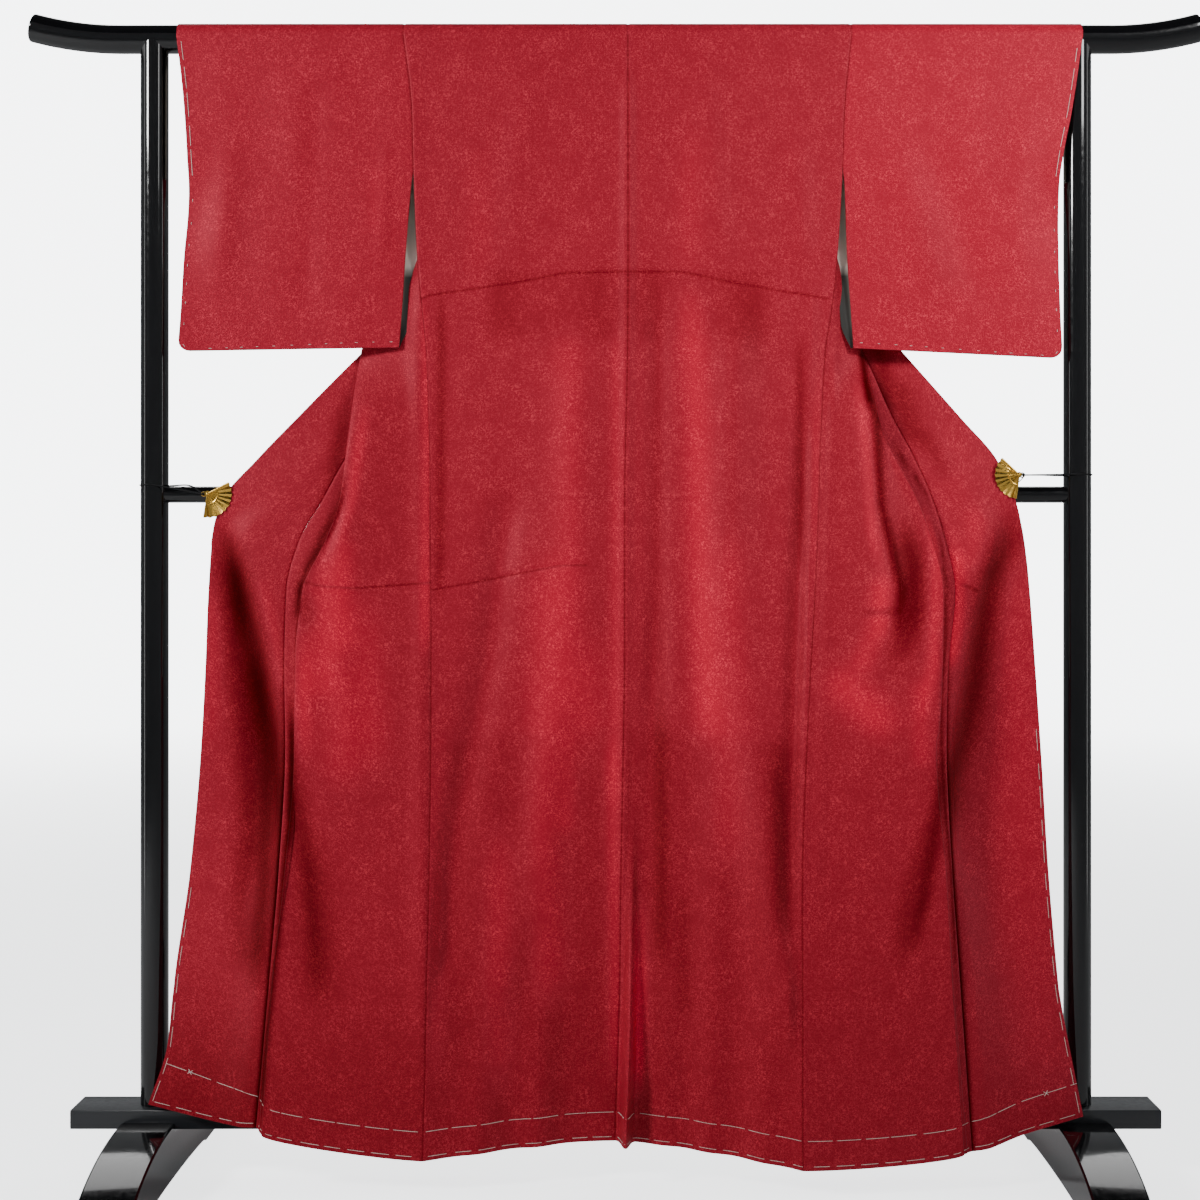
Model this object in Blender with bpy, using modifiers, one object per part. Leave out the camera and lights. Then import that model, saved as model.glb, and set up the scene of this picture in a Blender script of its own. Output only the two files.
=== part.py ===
"""Komon kimono shown from the back on a lacquered kimono stand, its fronts held open by two fan clips.

The floor is z = 0 and the stand's middle is x = 0. The garment's back faces -Y.
"""

import math

import bmesh
import bpy
import numpy as np

# Driving sizes, in metres
GAP = 0.0003
CLOTH = 0.0012
COLLAR_WALL = 0.0022
RAIL_Z = 1.653
RAIL_R = 0.0204
RAIL_HALF = 0.849
RAIL_STRAIGHT = 0.720
RAIL_BEND = 0.495
POST_X = 0.672
POST_R = 0.020
MID_RAIL_Z = 0.990
MID_RAIL_R = 0.012
PLANK_LENGTH = 1.570
PLANK_DEPTH = 0.070
PLANK_HEIGHT = 0.0275
PLANK_TOP = 0.1035
FOOT_HALF = 0.260
FOOT_WIDTH = 0.078
FOOT_CROWN = 0.086
FOOT_FALL = 0.018
FOOT_FALL_AT = 0.172
FOOT_NOSE = 0.012
RELIEF_HALF = 0.157
RELIEF_HEIGHT = 0.008
CENTRE_X = 0.0176
NECK_HALF = 0.0916
NECK_RISE = 0.0252
COLLAR_WIDTH = 0.055
COLLAR_END = {"left": 0.916, "right": 0.894}
COLLAR_LIFT = 0.0025
COLLAR_STAND = 0.0042
FOLD_REACH = 0.030
UNDERARM = 1.330
OPENING_TOP = 1.440
OKUMI_TOP = 1.420
HEM_REACH = 0.280
CLIP_RADIUS = 0.035
CLIP_PLATE = 0.0010
CORD_R = 0.00075

# Middle of the cloth where it goes round the rail, far enough out for flat facets to clear the wood
WRAP_R = 0.0216

# Cells across each stretch of cloth, and the heights of the rows
NECK_COLUMNS = {
    "left": np.array([0, 0.046, 0.079, 0.0888, NECK_HALF]),
    "right": np.array([0, 0.006, 0.013, 0.020, 0.028, 0.046, 0.079, 0.0888, NECK_HALF]),
}
BACK_CELLS = 11
FRONT_CELLS = (5, 3, 3)
FRONT_SHARES = np.array([0, 0.25, 0.50, 0.68, 0.85, 1.0])
OKUMI_CELLS = (2, 2, 2)
SLEEVE_CELLS = 8
ARC_STEPS = 8
LEVELS = np.array([0, 0.07, 0.15, 0.28, 0.40, 0.52, 0.63, 0.72, 0.79, 0.85, 0.90, 0.945, 0.985,
                   1.03, 1.08, 1.14, 1.20, 1.26, 1.33, 1.385, 1.44, 1.50, 1.56, 1.61, RAIL_Z])


def table(names, *rows):
    """Columns by name, turned from millimetres to metres."""
    return dict(zip(names.split(), np.array(rows, float).T / 1000))


FOLD_LINES = "level side ridge valley seam brow foot edge"
SHEET_LINES = FOLD_LINES.split()[1:]

# Where each fold line of the spread fronts stands, across and in depth, at each height
ACROSS = {
    "left": table(
        FOLD_LINES,
        (1653, -307, -210, -86, -74, -74, -74, -74),
        (1550, -295, -222, -88, -117, -117, -117, -117),
        (1440, -292, -246, -115, -177, -177, -177, -177),
        (1330, -287, -289, -132, -216, -229, -244, -257),
        (1250, -279, -330, -202, -259, -278, -298, -318),
        (1200, -274, -371, -257, -288, -316, -342, -369),
        (1100, -270, -381, -303, -352, -389, -425, -463),
        (1040, -268, -387, -331, -392, -435, -477, -518),
        (980, -267, -393, -353, -423, -483, -534, -567),
        (920, -266, -412, -396, -455, -538, -567, -584),
        (850, -264, -442, -432, -471, -525, -561, -588),
        (750, -262, -450, -449, -473, -502, -545, -591),
        (620, -261, -451, -453, -470, -485, -524, -597),
        (450, -262, -464, -466, -477, -493, -529, -611),
        (280, -265, -482, -485, -490, -508, -552, -634),
        (140, -267, -489, -493, -498, -518, -566, -643),
        (0, -270, -496, -501, -506, -530, -585, -670),
    ),
    "right": table(
        FOLD_LINES,
        (1653, 341, 245, 121, 109, 109, 109, 109),
        (1550, 331, 262, 131, 168, 168, 168, 168),
        (1440, 327, 284, 160, 237, 237, 237, 237),
        (1330, 320, 322, 183, 286, 296, 305, 315),
        (1250, 311, 348, 236, 329, 345, 361, 377),
        (1200, 303, 358, 266, 360, 379, 399, 418),
        (1100, 297, 370, 303, 403, 436, 468, 501),
        (1040, 294, 400, 351, 433, 471, 510, 550),
        (980, 292, 430, 394, 457, 517, 553, 576),
        (920, 289, 449, 423, 473, 543, 571, 590),
        (850, 285, 463, 448, 485, 527, 568, 597),
        (750, 278, 458, 457, 475, 503, 548, 604),
        (620, 270, 451, 453, 471, 485, 530, 612),
        (450, 263, 464, 465, 477, 491, 533, 621),
        (280, 262, 473, 476, 487, 507, 554, 635),
        (0, 261, 489, 494, 502, 528, 580, 669),
    ),
}
DEPTH = {
    "left": table(
        FOLD_LINES,
        (1653, 21.6, 21.6, 21.6, 21.6, 21.6, 21.6, 21.6),
        (1550, 21.4, 23, 27, 33, 33, 33, 33),
        (1440, 16, 22, 27, 35, 35, 35, 35),
        (1330, -20, -4, 22, 31, 31, 31, 31),
        (1250, -21, 4, 16, 22, 22, 22, 22),
        (1200, -21, 3, 7, 12, 12, 11, 10),
        (1100, -24, -33, -15, -7, -8, -9, -11),
        (1040, -28, -45, -28, -20, -22, -22, -22),
        (980, -34, -56, -41, -31, -34, -32, -30),
        (920, -42, -68, -53, -42, -44, -30, -26),
        (850, -52, -80, -61, -50, -52, -31, -26),
        (750, -66, -90, -66, -56, -54, -29, -28),
        (620, -78, -93, -70, -63, -60, -32, -32),
        (450, -90, -97, -81, -76, -70, -46, -37),
        (280, -98, -97, -88, -84, -80, -58, -40),
        (0, -103, -96, -91, -88, -82, -58, -42),
    ),
    "right": table(
        FOLD_LINES,
        (1653, 21.6, 21.6, 21.6, 21.6, 21.6, 21.6, 21.6),
        (1550, 21.4, 23, 27, 33, 33, 33, 33),
        (1440, 16, 22, 27, 35, 35, 35, 35),
        (1330, -20, -4, 22, 31, 31, 31, 31),
        (1250, -21, 4, 16, 22, 22, 22, 22),
        (1200, -21, 3, 7, 12, 12, 11, 10),
        (1100, -24, -33, -15, -7, -8, -9, -11),
        (1040, -28, -45, -28, -20, -22, -22, -22),
        (980, -34, -56, -41, -31, -34, -32, -30),
        (920, -42, -68, -53, -42, -44, -30, -26),
        (850, -52, -80, -61, -50, -52, -31, -26),
        (750, -66, -90, -66, -56, -54, -29, -28),
        (620, -80, -93, -70, -63, -60, -32, -32),
        (450, -95, -98, -82, -76, -70, -46, -38),
        (280, -108, -100, -91, -87, -82, -60, -42),
        (0, -120, -98, -94, -90, -86, -70, -46),
    ),
}
HEM = {
    "left": table("side ridge valley seam brow foot edge", (52, 86, 91, 95, 94, 98, 114)),
    "right": table("side ridge valley seam brow foot edge", (44, 60, 61, 62, 65, 80, 98)),
}

# How far the hem of each front sags below a straight line between its side seam and its ridge
HEM_BELLY = 0.006

# The centre back seam and the plain depth of the back beside it
CENTRE = table(
    "level across depth",
    (1653, 17.6, -21.6),
    (1330, 17.6, -23),
    (1200, 17, -25),
    (980, 13, -29),
    (750, 13, -36),
    (620, 11, -40),
    (450, 8, -43),
    (280, 6, -45),
    (0, -1, -48),
)
CENTRE_HEM = 0.064

# Long soft flutes of the back: distance from the centre seam, half width, depth at the hem, height of its end
FLUTES = table(
    "across half_width depth top",
    (15, 6.5, -36, 560),
    (-190, 26, -7, 900),
    (-108, 24, -8, 1150),
    (68, 24, -6, 1150),
    (130, 26, -9, 1250),
    (205, 24, -7, 1050),
)

# Hollows in the shown fronts: share of the way from side seam to ridge, its spread, depth, height, reach
HOLLOWS = {
    "left": dict(share=0.85, spread=0.12, depth=0.005, level=0.94, reach=0.05),
    "right": dict(share=0.78, spread=0.12, depth=0.005, level=0.93, reach=0.12),
}

# Outlines of the sleeves: the body join and the outer edge at each height, and the two layers' depth
SLEEVES = {
    "left": table(
        "level inner outer back front",
        (1653, -307, -635, -21.6, 21.6),
        (1550, -295, -624, -21.6, 21.5),
        (1470, -292, -619, -21.8, 20),
        (1440, -295, -618, -22, 15),
        (1330, -304, -625, -22, -8),
        (1250, -309, -629, -22, -14),
        (1197, -313, -633, -22, -17),
    ),
    "right": table(
        "level inner outer back front",
        (1653, 341, 675, -21.6, 21.6),
        (1550, 331, 660, -21.7, 21.7),
        (1470, 328, 645, -21.9, 21.7),
        (1440, 330, 642, -22, 17),
        (1330, 334, 641, -22, -8),
        (1250, 339, 643, -22, -14),
        (1187, 343, 646, -22, -17),
    ),
}
SLEEVE_CORNER = 0.016
SLEEVE_SLANT = {"left": 0.005, "right": 0.014}
SLEEVE_LEVELS = np.array([0, 0.004, 0.016, 0.05, 0.11, 0.18, 0.25, 0.31, 0.37, 0.42])
MOUTH_ROW = 6

CLIPS = {
    "left": dict(
        pivot=(-0.587, -0.0331, 0.9897), first=-98, last=27, jaw_y=-0.0226, post_z=1.0035
    ),
    "right": dict(
        pivot=(0.580, -0.0333, 1.0170), first=137, last=262, jaw_y=-0.0186, post_z=1.0187
    ),
}

LACQUER = ("black_lacquer", (0.010, 0.010, 0.011), 0.16, 0.0)
CREPE = ("silk_crepe", (0.39, 0.018, 0.030), 0.62, 0.0)
GILT = ("gilt_metal", (0.83, 0.56, 0.16), 0.28, 1.0)
CORD = ("elastic_cord", (0.012, 0.012, 0.013), 0.75, 0.0)


def material(look):
    name, colour, roughness, metallic = look
    found = bpy.data.materials.get(name)
    if found:
        return found
    made = bpy.data.materials.new(name)
    made.use_nodes = True
    shader = made.node_tree.nodes["Principled BSDF"]
    shader.inputs["Base Color"].default_value = (*colour, 1)
    shader.inputs["Roughness"].default_value = roughness
    shader.inputs["Metallic"].default_value = metallic
    return made


def clear_scene():
    for obj in list(bpy.data.objects):
        bpy.data.objects.remove(obj, do_unlink=True)


def collection(name):
    made = bpy.data.collections.new(name)
    bpy.context.scene.collection.children.link(made)
    return made


def place(obj, look, into):
    """Puts an object into a collection with its material and smooth shading."""
    for old in list(obj.users_collection):
        old.objects.unlink(obj)
    into.objects.link(obj)
    if look:
        obj.data.materials.clear()
        obj.data.materials.append(material(look))
    if obj.type == "MESH":
        obj.data.shade_smooth()
        obj.data.set_sharp_from_angle(angle=math.radians(40))
    return obj


def hermite(a, b, slope_a, slope_b, t):
    """Cubic from a to b with the two end slopes, at t from 0 to 1."""
    return ((1 - t) ** 2 * (1 + 2 * t) * a + t**2 * (3 - 2 * t) * b
            + t * (1 - t) ** 2 * slope_a - t**2 * (1 - t) * slope_b)


def smooth(at, knots, values):
    """Monotone cubic through the rows of values: a slope is the weighted harmonic mean of its two rises."""
    order = np.argsort(knots)
    knots = knots[order]
    values = values[order]
    step = np.diff(knots)[:, None]
    rise = np.diff(values, axis=0) / step
    before = 2 * step[1:] + step[:-1]
    after = step[1:] + 2 * step[:-1]
    one_way = rise[:-1] * rise[1:] > 0
    low = np.where(one_way, rise[:-1], 1)
    high = np.where(one_way, rise[1:], 1)
    inner = np.where(one_way, (before + after) / (before / low + after / high), 0)
    slope = np.vstack([rise[:1], inner, rise[-1:]])
    i = np.clip(np.searchsorted(knots, at) - 1, 0, len(knots) - 2)
    t = (at - knots[i])[:, None] / step[i]
    return hermite(values[i], values[i + 1], slope[i] * step[i], slope[i + 1] * step[i], t)


def column(tab, name, levels):
    return smooth(levels, tab["level"], tab[name][:, None])[:, 0]


def ease(t):
    t = np.clip(t, 0, 1)
    return t * t * (3 - 2 * t)


def stations(side, levels):
    """Points of the seven fold lines at each level, as rows by lines by x, y, z.

    Below HEM_REACH a row leans to the hem.
    """
    across = ACROSS[side]
    x = smooth(levels, across["level"], np.stack([across[n] for n in SHEET_LINES], 1))
    y = smooth(levels, DEPTH[side]["level"], np.stack([DEPTH[side][n] for n in SHEET_LINES], 1))
    hem = np.array([HEM[side][n][0] for n in SHEET_LINES])
    return np.stack([x, y, lean(levels[:, None], hem[None, :])], 2)


def lean(levels, hem):
    """Height of a row over a hem: the level itself above HEM_REACH, and evenly down to the hem below it."""
    return np.where(levels < HEM_REACH, hem + levels / HEM_REACH * (HEM_REACH - hem), levels)


def line_slopes(points, levels):
    """End slopes at each station. The ridge and the valley turn straight back, but not high on the fronts."""
    step = np.linalg.norm(np.diff(points, axis=1), axis=2)
    slopes = np.empty_like(points)
    slopes[:, 1:-1] = points[:, 2:] - points[:, :-2]
    slopes[:, 0] = points[:, 1] - points[:, 0]
    slopes[:, -1] = points[:, -1] - points[:, -2]
    turned = (ease((UNDERARM + 0.05 - levels) / 0.05), ease((RAIL_Z - 0.03 - levels) / 0.05))
    for line, share in zip((1, 2), turned):
        plain = slopes[:, line] / np.maximum(np.linalg.norm(slopes[:, line], axis=1), 1e-9)[:, None]
        slopes[:, line] = plain * (1 - share)[:, None] + np.array([0, 1, 0]) * share[:, None]
    reach = np.hstack([step[:, :1], np.minimum(step[:, 1:], step[:, :-1]), step[:, -1:]])
    for line, share in zip((1, 2), turned):
        reach[:, line] += share * (np.minimum(reach[:, line], FOLD_REACH) - reach[:, line])
    return slopes * (reach / np.maximum(np.linalg.norm(slopes, axis=2), 1e-9))[:, :, None]


def stretch(points, slopes, line, shares, start, end):
    """Points from one station to the next at the given shares.

    They stay clear of its ends by start and end, which give a length for each row.
    """
    a, b = points[:, line], points[:, line + 1]
    length = np.maximum(np.linalg.norm(b - a, axis=1), 1e-6)
    low = (start / length)[:, None]
    high = (end / length)[:, None]
    t = (low + shares[None, :] * (1 - low - high))[:, :, None]
    return hermite(a[:, None], b[:, None], slopes[:, None, line], slopes[:, None, line + 1], t)


def even(cells):
    return np.linspace(0, 1, cells + 1)


def joined(*runs):
    """Runs of points put end to end, without repeating the point that two of them share."""
    return np.concatenate([runs[0]] + [run[:, 1:] for run in runs[1:]], axis=1)


def front_sheet(side, levels, shares, cells):
    """The front from side seam to okumi seam, or to the neck edge above the okumi's point.

    Before the ridge lies a hollow: a bell across and up, with what it has left at the ridge taken off again.
    """
    points = stations(side, levels)
    slopes = line_slopes(points, levels)
    none = np.zeros(len(levels))
    lean_back = np.abs(slopes[:, 0, 1]) / np.maximum(np.linalg.norm(slopes[:, 0], axis=1), 1e-9)
    off_side = GAP / 2 + CLOTH / 2 * lean_back
    first = stretch(points, slopes, 0, shares, off_side, none)
    hollow = HOLLOWS[side]
    across = np.exp(-(((shares - hollow["share"]) / hollow["spread"]) ** 2)) - shares**8 * math.exp(
        -(((1 - hollow["share"]) / hollow["spread"]) ** 2))
    along = np.exp(-(((levels - hollow["level"]) / hollow["reach"]) ** 2))
    first[:, :, 1] += hollow["depth"] * across[None, :] * along[:, None]
    low = np.clip(1 - levels / HEM_REACH, 0, 1)[:, None]
    first[:, :, 2] -= HEM_BELLY * low * (4 * shares * (1 - shares))[None, :]
    return joined(first, stretch(points, slopes, 1, even(cells[1]), none, none),
                  stretch(points, slopes, 2, even(cells[2]), none, none + GAP / 2))


def okumi_sheet(side, levels, cells):
    """The overlap strip from the okumi seam to its free edge."""
    points = stations(side, levels)
    slopes = line_slopes(points, levels)
    none = np.zeros(len(levels))
    return joined(stretch(points, slopes, 3, even(cells[0]), none + GAP / 2, none),
                  stretch(points, slopes, 4, even(cells[1]), none, none),
                  stretch(points, slopes, 5, even(cells[2]), none, none))


def flutes(x, levels):
    """Depth of the back's long flutes, as bells across that fade out towards each one's top.

    Here x is measured from the centre seam.
    """
    total = np.zeros_like(x)
    for middle, half, depth, top in zip(*(FLUTES[n] for n in ("across", "half_width", "depth", "top"))):
        total += depth * np.exp(-(((x - middle) / half) ** 2)) * ease(1 - levels[:, None] / top)
    return total


def back_sheet(side, levels, neck_columns, back_cells):
    """The back from centre seam to side seam: depth runs from the centre's to the side's, plus the flutes."""
    points = stations(side, levels)
    sign = -1 if side == "left" else 1
    centre = column(CENTRE, "across", levels) + sign * GAP * 0.8
    edge = points[:, 0, 0] - sign * GAP / 2
    full = abs(points[-1, 0, 0] - CENTRE_X)
    u = np.concatenate([neck_columns / full, np.linspace(NECK_HALF / full, 1, back_cells + 1)[1:]])[None, :]
    x = centre[:, None] + (edge - centre)[:, None] * u
    plain = column(CENTRE, "depth", levels)
    open_side = np.where(levels > UNDERARM, -WRAP_R - 0.0004 * ease((RAIL_Z - levels) / 0.1), points[:, 0, 1])
    y = plain[:, None] + (open_side - plain)[:, None] * u**1.6
    y = y + flutes(x - column(CENTRE, "across", levels)[:, None], levels) * (1 - ease((u - 0.9) / 0.1))
    z = lean(levels[:, None], CENTRE_HEM + (HEM[side]["side"][0] - CENTRE_HEM) * u**1.6)
    return np.stack([x, y, z], 2)


def body_sheet(side, levels, neck_columns, back_cells, shares, cells, arc_steps):
    """One length of cloth: up the back, over the rail and down the front, a row for each height.

    Across the neck the cloth ends past the rail's top, on a curve shaped as a quarter of an ellipse.
    """
    back = back_sheet(side, levels, neck_columns, back_cells)
    front = front_sheet(side, levels[::-1], shares, cells)[:, ::-1]
    inside = len(neck_columns) - 1
    front = np.concatenate([np.repeat(front[:, :1], inside, axis=1), front], axis=1)
    along = np.linspace(0, 1, arc_steps + 1)[1:, None]
    end = np.zeros(back.shape[1])
    end[:inside] = NECK_RISE / WRAP_R * np.sqrt(1 - (neck_columns[:-1] / NECK_HALF) ** 2)
    turn = np.pi + (end[None, :] - np.pi) * along
    x = back[-1, :, 0] + (front[0, :, 0] - back[-1, :, 0]) * ease(along)
    x[:, :inside] = back[-1, :inside, 0]
    arc = np.stack([x, WRAP_R * np.cos(turn), RAIL_Z + WRAP_R * np.sin(turn)], 2)
    arc[-1, inside:] = front[0, inside:]
    return np.concatenate([back, arc, front[1:]])


def sheet_object(name, points, wall, look, into, skip=None, extra=()):
    """A grid of points as an open surface, thickened to a wall. Cells where skip is true are left open.

    Each cell is split along its shorter diagonal.
    """
    rows, cols = points.shape[:2]
    index = np.arange(rows * cols).reshape(rows, cols)
    quads = np.stack([index[:-1, :-1], index[:-1, 1:], index[1:, 1:], index[1:, :-1]], 2)
    quads = quads[~skip] if skip is not None else quads.reshape(-1, 4)
    corners = points.reshape(-1, 3)[quads]
    across = np.linalg.norm(corners[:, 0] - corners[:, 2], axis=1)
    other = np.linalg.norm(corners[:, 1] - corners[:, 3], axis=1)
    quads = np.where((other < across)[:, None], np.roll(quads, -1, axis=1), quads)
    faces = quads[:, :3].tolist() + quads[:, [0, 2, 3]].tolist() + [list(face) for face in extra]
    mesh = bpy.data.meshes.new(name)
    mesh.from_pydata(points.reshape(-1, 3).tolist(), [], faces)
    obj = bpy.data.objects.new(name, mesh)
    bpy.context.scene.collection.objects.link(obj)
    shell = bmesh.new()
    shell.from_mesh(mesh)
    bmesh.ops.delete(shell, geom=[v for v in shell.verts if not v.link_faces], context="VERTS")
    bmesh.ops.recalc_face_normals(shell, faces=shell.faces)
    shell.to_mesh(mesh)
    shell.free()
    solid = obj.modifiers.new("wall", "SOLIDIFY")
    solid.thickness = wall
    solid.offset = 0
    return place(obj, look, into)


def make_body(side, into):
    points = body_sheet(side, LEVELS, NECK_COLUMNS[side], BACK_CELLS, FRONT_SHARES, FRONT_CELLS, ARC_STEPS)
    skip = np.zeros((points.shape[0] - 1, points.shape[1] - 1), bool)
    skip[len(LEVELS) - 1 + ARC_STEPS:, :len(NECK_COLUMNS[side]) - 1] = True
    sheet_object(f"body_{side}", points, CLOTH, CREPE, into, skip)


def make_okumi(side, into):
    levels = np.append(LEVELS[LEVELS < OKUMI_TOP], OKUMI_TOP)
    sheet_object(f"okumi_{side}", okumi_sheet(side, levels, OKUMI_CELLS), CLOTH, CREPE, into)


def collar_path(side, rows, neck_rows):
    """Half of the collar's seam line on the unrolled cloth, from below the clip to the centre back."""
    sign = -1 if side == "left" else 1
    levels = np.linspace(COLLAR_END[side], RAIL_Z, rows + 1)
    along = column(ACROSS[side], "edge", levels)
    turn = np.linspace(0, np.pi / 2, neck_rows + 1)[1:]
    neck_x = CENTRE_X + sign * NECK_HALF * np.cos(turn)
    neck_h = RAIL_Z + NECK_RISE * np.sin(turn)
    return np.stack([np.append(along, neck_x), np.append(levels, neck_h)], 1)


def behind(side, x, levels):
    """Depth of the spread front's last layer at points across and up.

    It is never less than at any place nearer the free edge.
    """
    front = front_sheet(side, levels, FRONT_SHARES, FRONT_CELLS)[:, -FRONT_CELLS[2] - 1:]
    row = joined(front, okumi_sheet(side, levels, OKUMI_CELLS))
    row = row[:, ::-1]
    sign = -1 if side == "left" else 1
    out = -sign * row[:, :, 0]
    depth = np.maximum.accumulate(row[:, :, 1], axis=1)
    i = np.clip((out < -sign * x[:, None]).sum(1) - 1, 0, out.shape[1] - 2)[:, None]
    a, b = np.take_along_axis(out, i, 1)[:, 0], np.take_along_axis(out, i + 1, 1)[:, 0]
    low, high = np.take_along_axis(depth, i, 1)[:, 0], np.take_along_axis(depth, i + 1, 1)[:, 0]
    return low + (high - low) * np.clip((-sign * x - a) / np.maximum(b - a, 1e-9), 0, 1)


def collar_sheet(side, rows, neck_rows, widths):
    """Half of the folded collar, hanging behind its seam line. Over the rail it lies round the rail."""
    path = collar_path(side, rows, neck_rows)
    sign = -1 if side == "left" else 1
    run = np.gradient(path, axis=0)
    run /= np.linalg.norm(run, axis=1)[:, None]
    square = np.stack([-sign * run[:, 1], sign * run[:, 0]], 1)
    done = np.clip((path[:, 1] - 1.52) / (RAIL_Z - 1.52), 0, 1)
    round_neck = np.append(np.zeros(rows + 1), np.linspace(0, 1, neck_rows + 1)[1:])
    fall = math.radians(45) + math.radians(45) * ease((done + round_neck) / 2)
    hung = np.stack([-sign * np.cos(fall), -np.sin(fall)], 1)
    side_share = ease(done * 1.5)[:, None]
    square = square * (1 - side_share) + hung * side_share
    square /= np.linalg.norm(square, axis=1)[:, None]
    flat = path[:, None] + square[:, None] * widths[None, :, None]
    stand = COLLAR_LIFT + (COLLAR_STAND - COLLAR_LIFT) * ease(widths / 0.012)[None, :]
    level = np.clip(flat[:, :, 1], 0.8, RAIL_Z)
    hang = behind(side, flat[:, :, 0].ravel(), level.ravel()).reshape(level.shape)
    turn = np.maximum(flat[:, :, 1] - RAIL_Z, 0) / WRAP_R
    y = np.where(turn > 0, (WRAP_R + stand) * np.cos(turn), hang + stand)
    z = np.where(turn > 0, RAIL_Z + (WRAP_R + stand) * np.sin(turn), flat[:, :, 1])
    return np.stack([flat[:, :, 0], y, z], 2)


def make_collar(into):
    widths = np.array([0, 0.012, 0.033, COLLAR_WIDTH])
    left = collar_sheet("left", 16, 5, widths)
    right = collar_sheet("right", 16, 5, widths)
    sheet_object("collar", np.concatenate([left, right[::-1][1:]]), COLLAR_WALL, CREPE, into)


def sleeve_sheet(side, rise, cells, arc_steps):
    """A sleeve as rows round it: up the back layer, over the rail, and down the front layer again."""
    tab = SLEEVES[side]
    bottom = tab["level"].min()
    levels = np.append(bottom + rise, RAIL_Z)
    u = np.linspace(0, 1, cells + 1)[None, :]
    inner = column(tab, "inner", levels)
    outer = column(tab, "outer", levels)
    sign = -1 if side == "left" else 1
    sewn = ease((levels - OPENING_TOP) / 0.03)
    inner = inner + (column(ACROSS[side], "side", levels) - inner) * sewn + sign * GAP
    round_off = np.clip(SLEEVE_CORNER - (levels - bottom), 0, None)
    outer = outer - sign * (SLEEVE_CORNER - np.sqrt(SLEEVE_CORNER**2 - round_off**2))
    x = inner[:, None] + (outer - inner)[:, None] * u
    z = levels[:, None] + SLEEVE_SLANT[side] * (1 - u) * (1 - ease((levels - bottom) / 0.2))[:, None]
    back = np.stack([x, column(tab, "back", levels)[:, None] + 0 * x, z], 2)
    plain = column(tab, "front", levels)
    join = (column(DEPTH[side], "side", levels) - plain) * sewn
    front = np.stack([x, plain[:, None] + join[:, None] * (1 - ease(u / 0.5)), z], 2)
    closed = np.clip((OPENING_TOP + 0.03 - levels) / 0.1, 0, 1)[:, None] * ease((u - 0.8) / 0.2)
    middle = (back[:, :, 1] + front[:, :, 1]) / 2
    narrow = 0.0025
    back[:, :, 1] += (middle - narrow - back[:, :, 1]) * closed
    front[:, :, 1] += (middle + narrow - front[:, :, 1]) * closed
    turn = np.pi * (1 - np.linspace(0, 1, arc_steps + 1)[1:-1])
    arc = np.stack([x[-1][None, :] + 0 * turn[:, None], (WRAP_R * np.cos(turn))[:, None] + 0 * x[-1],
                    (RAIL_Z + WRAP_R * np.sin(turn))[:, None] + 0 * x[-1]], 2)
    return np.concatenate([back, arc, front[::-1]])


def make_sleeve(side, into):
    """The sleeve's bottom and its outer edge below the mouth are closed. The inner edge stays open."""
    points = sleeve_sheet(side, SLEEVE_LEVELS, SLEEVE_CELLS, ARC_STEPS)
    rows, cols = points.shape[:2]
    index = np.arange(rows * cols).reshape(rows, cols)
    bottom = [(index[0, j], index[rows - 1, j], index[rows - 1, j + 1], index[0, j + 1])
              for j in range(cols - 1)]
    outer = [(index[i, -1], index[rows - 1 - i, -1], index[rows - 2 - i, -1], index[i + 1, -1])
             for i in range(MOUTH_ROW)]
    extra = [tuple(int(k) for k in face) for face in bottom + outer]
    sheet_object(f"sleeve_{side}", points, CLOTH, CREPE, into, extra=extra)


def tube(name, points, radius, look, into, sides=5, cyclic=False):
    """A round bar along a poly line, with filled caps."""
    curve = bpy.data.curves.new(name, "CURVE")
    curve.dimensions = "3D"
    curve.bevel_depth = radius
    curve.bevel_resolution = sides
    curve.use_fill_caps = not cyclic
    spline = curve.splines.new("POLY")
    spline.points.add(len(points) - 1)
    for point, (x, y, z) in zip(spline.points, points):
        point.co = (x, y, z, 1)
    spline.use_cyclic_u = cyclic
    obj = bpy.data.objects.new(name, curve)
    bpy.context.scene.collection.objects.link(obj)
    return place(obj, look, into)


def cylinder(name, radius, length, location, rotation, look, into, sides=32):
    bpy.ops.mesh.primitive_cylinder_add(vertices=sides, radius=radius, depth=length, location=location,
                                        rotation=rotation)
    obj = bpy.context.object
    obj.name = name
    return place(obj, look, into)


def cutter(obj, target, operation="DIFFERENCE"):
    obj.hide_render = True
    obj.display_type = "WIRE"
    boolean = target.modifiers.new(obj.name, "BOOLEAN")
    boolean.operation = operation
    boolean.object = obj


def make_top_rail(into):
    """A round bar, straight to RAIL_STRAIGHT, whose ends sweep up on an arc of radius RAIL_BEND."""
    reach = np.linspace(RAIL_STRAIGHT, RAIL_HALF, 6)
    rise = RAIL_BEND - np.sqrt(RAIL_BEND**2 - (reach - RAIL_STRAIGHT) ** 2)
    right = [(x, 0, RAIL_Z + z) for x, z in zip(reach, rise)]
    left = [(-x, y, z) for x, y, z in right[::-1]]
    tube("top_rail", left + right, RAIL_R, LACQUER, into, sides=7)


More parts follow.
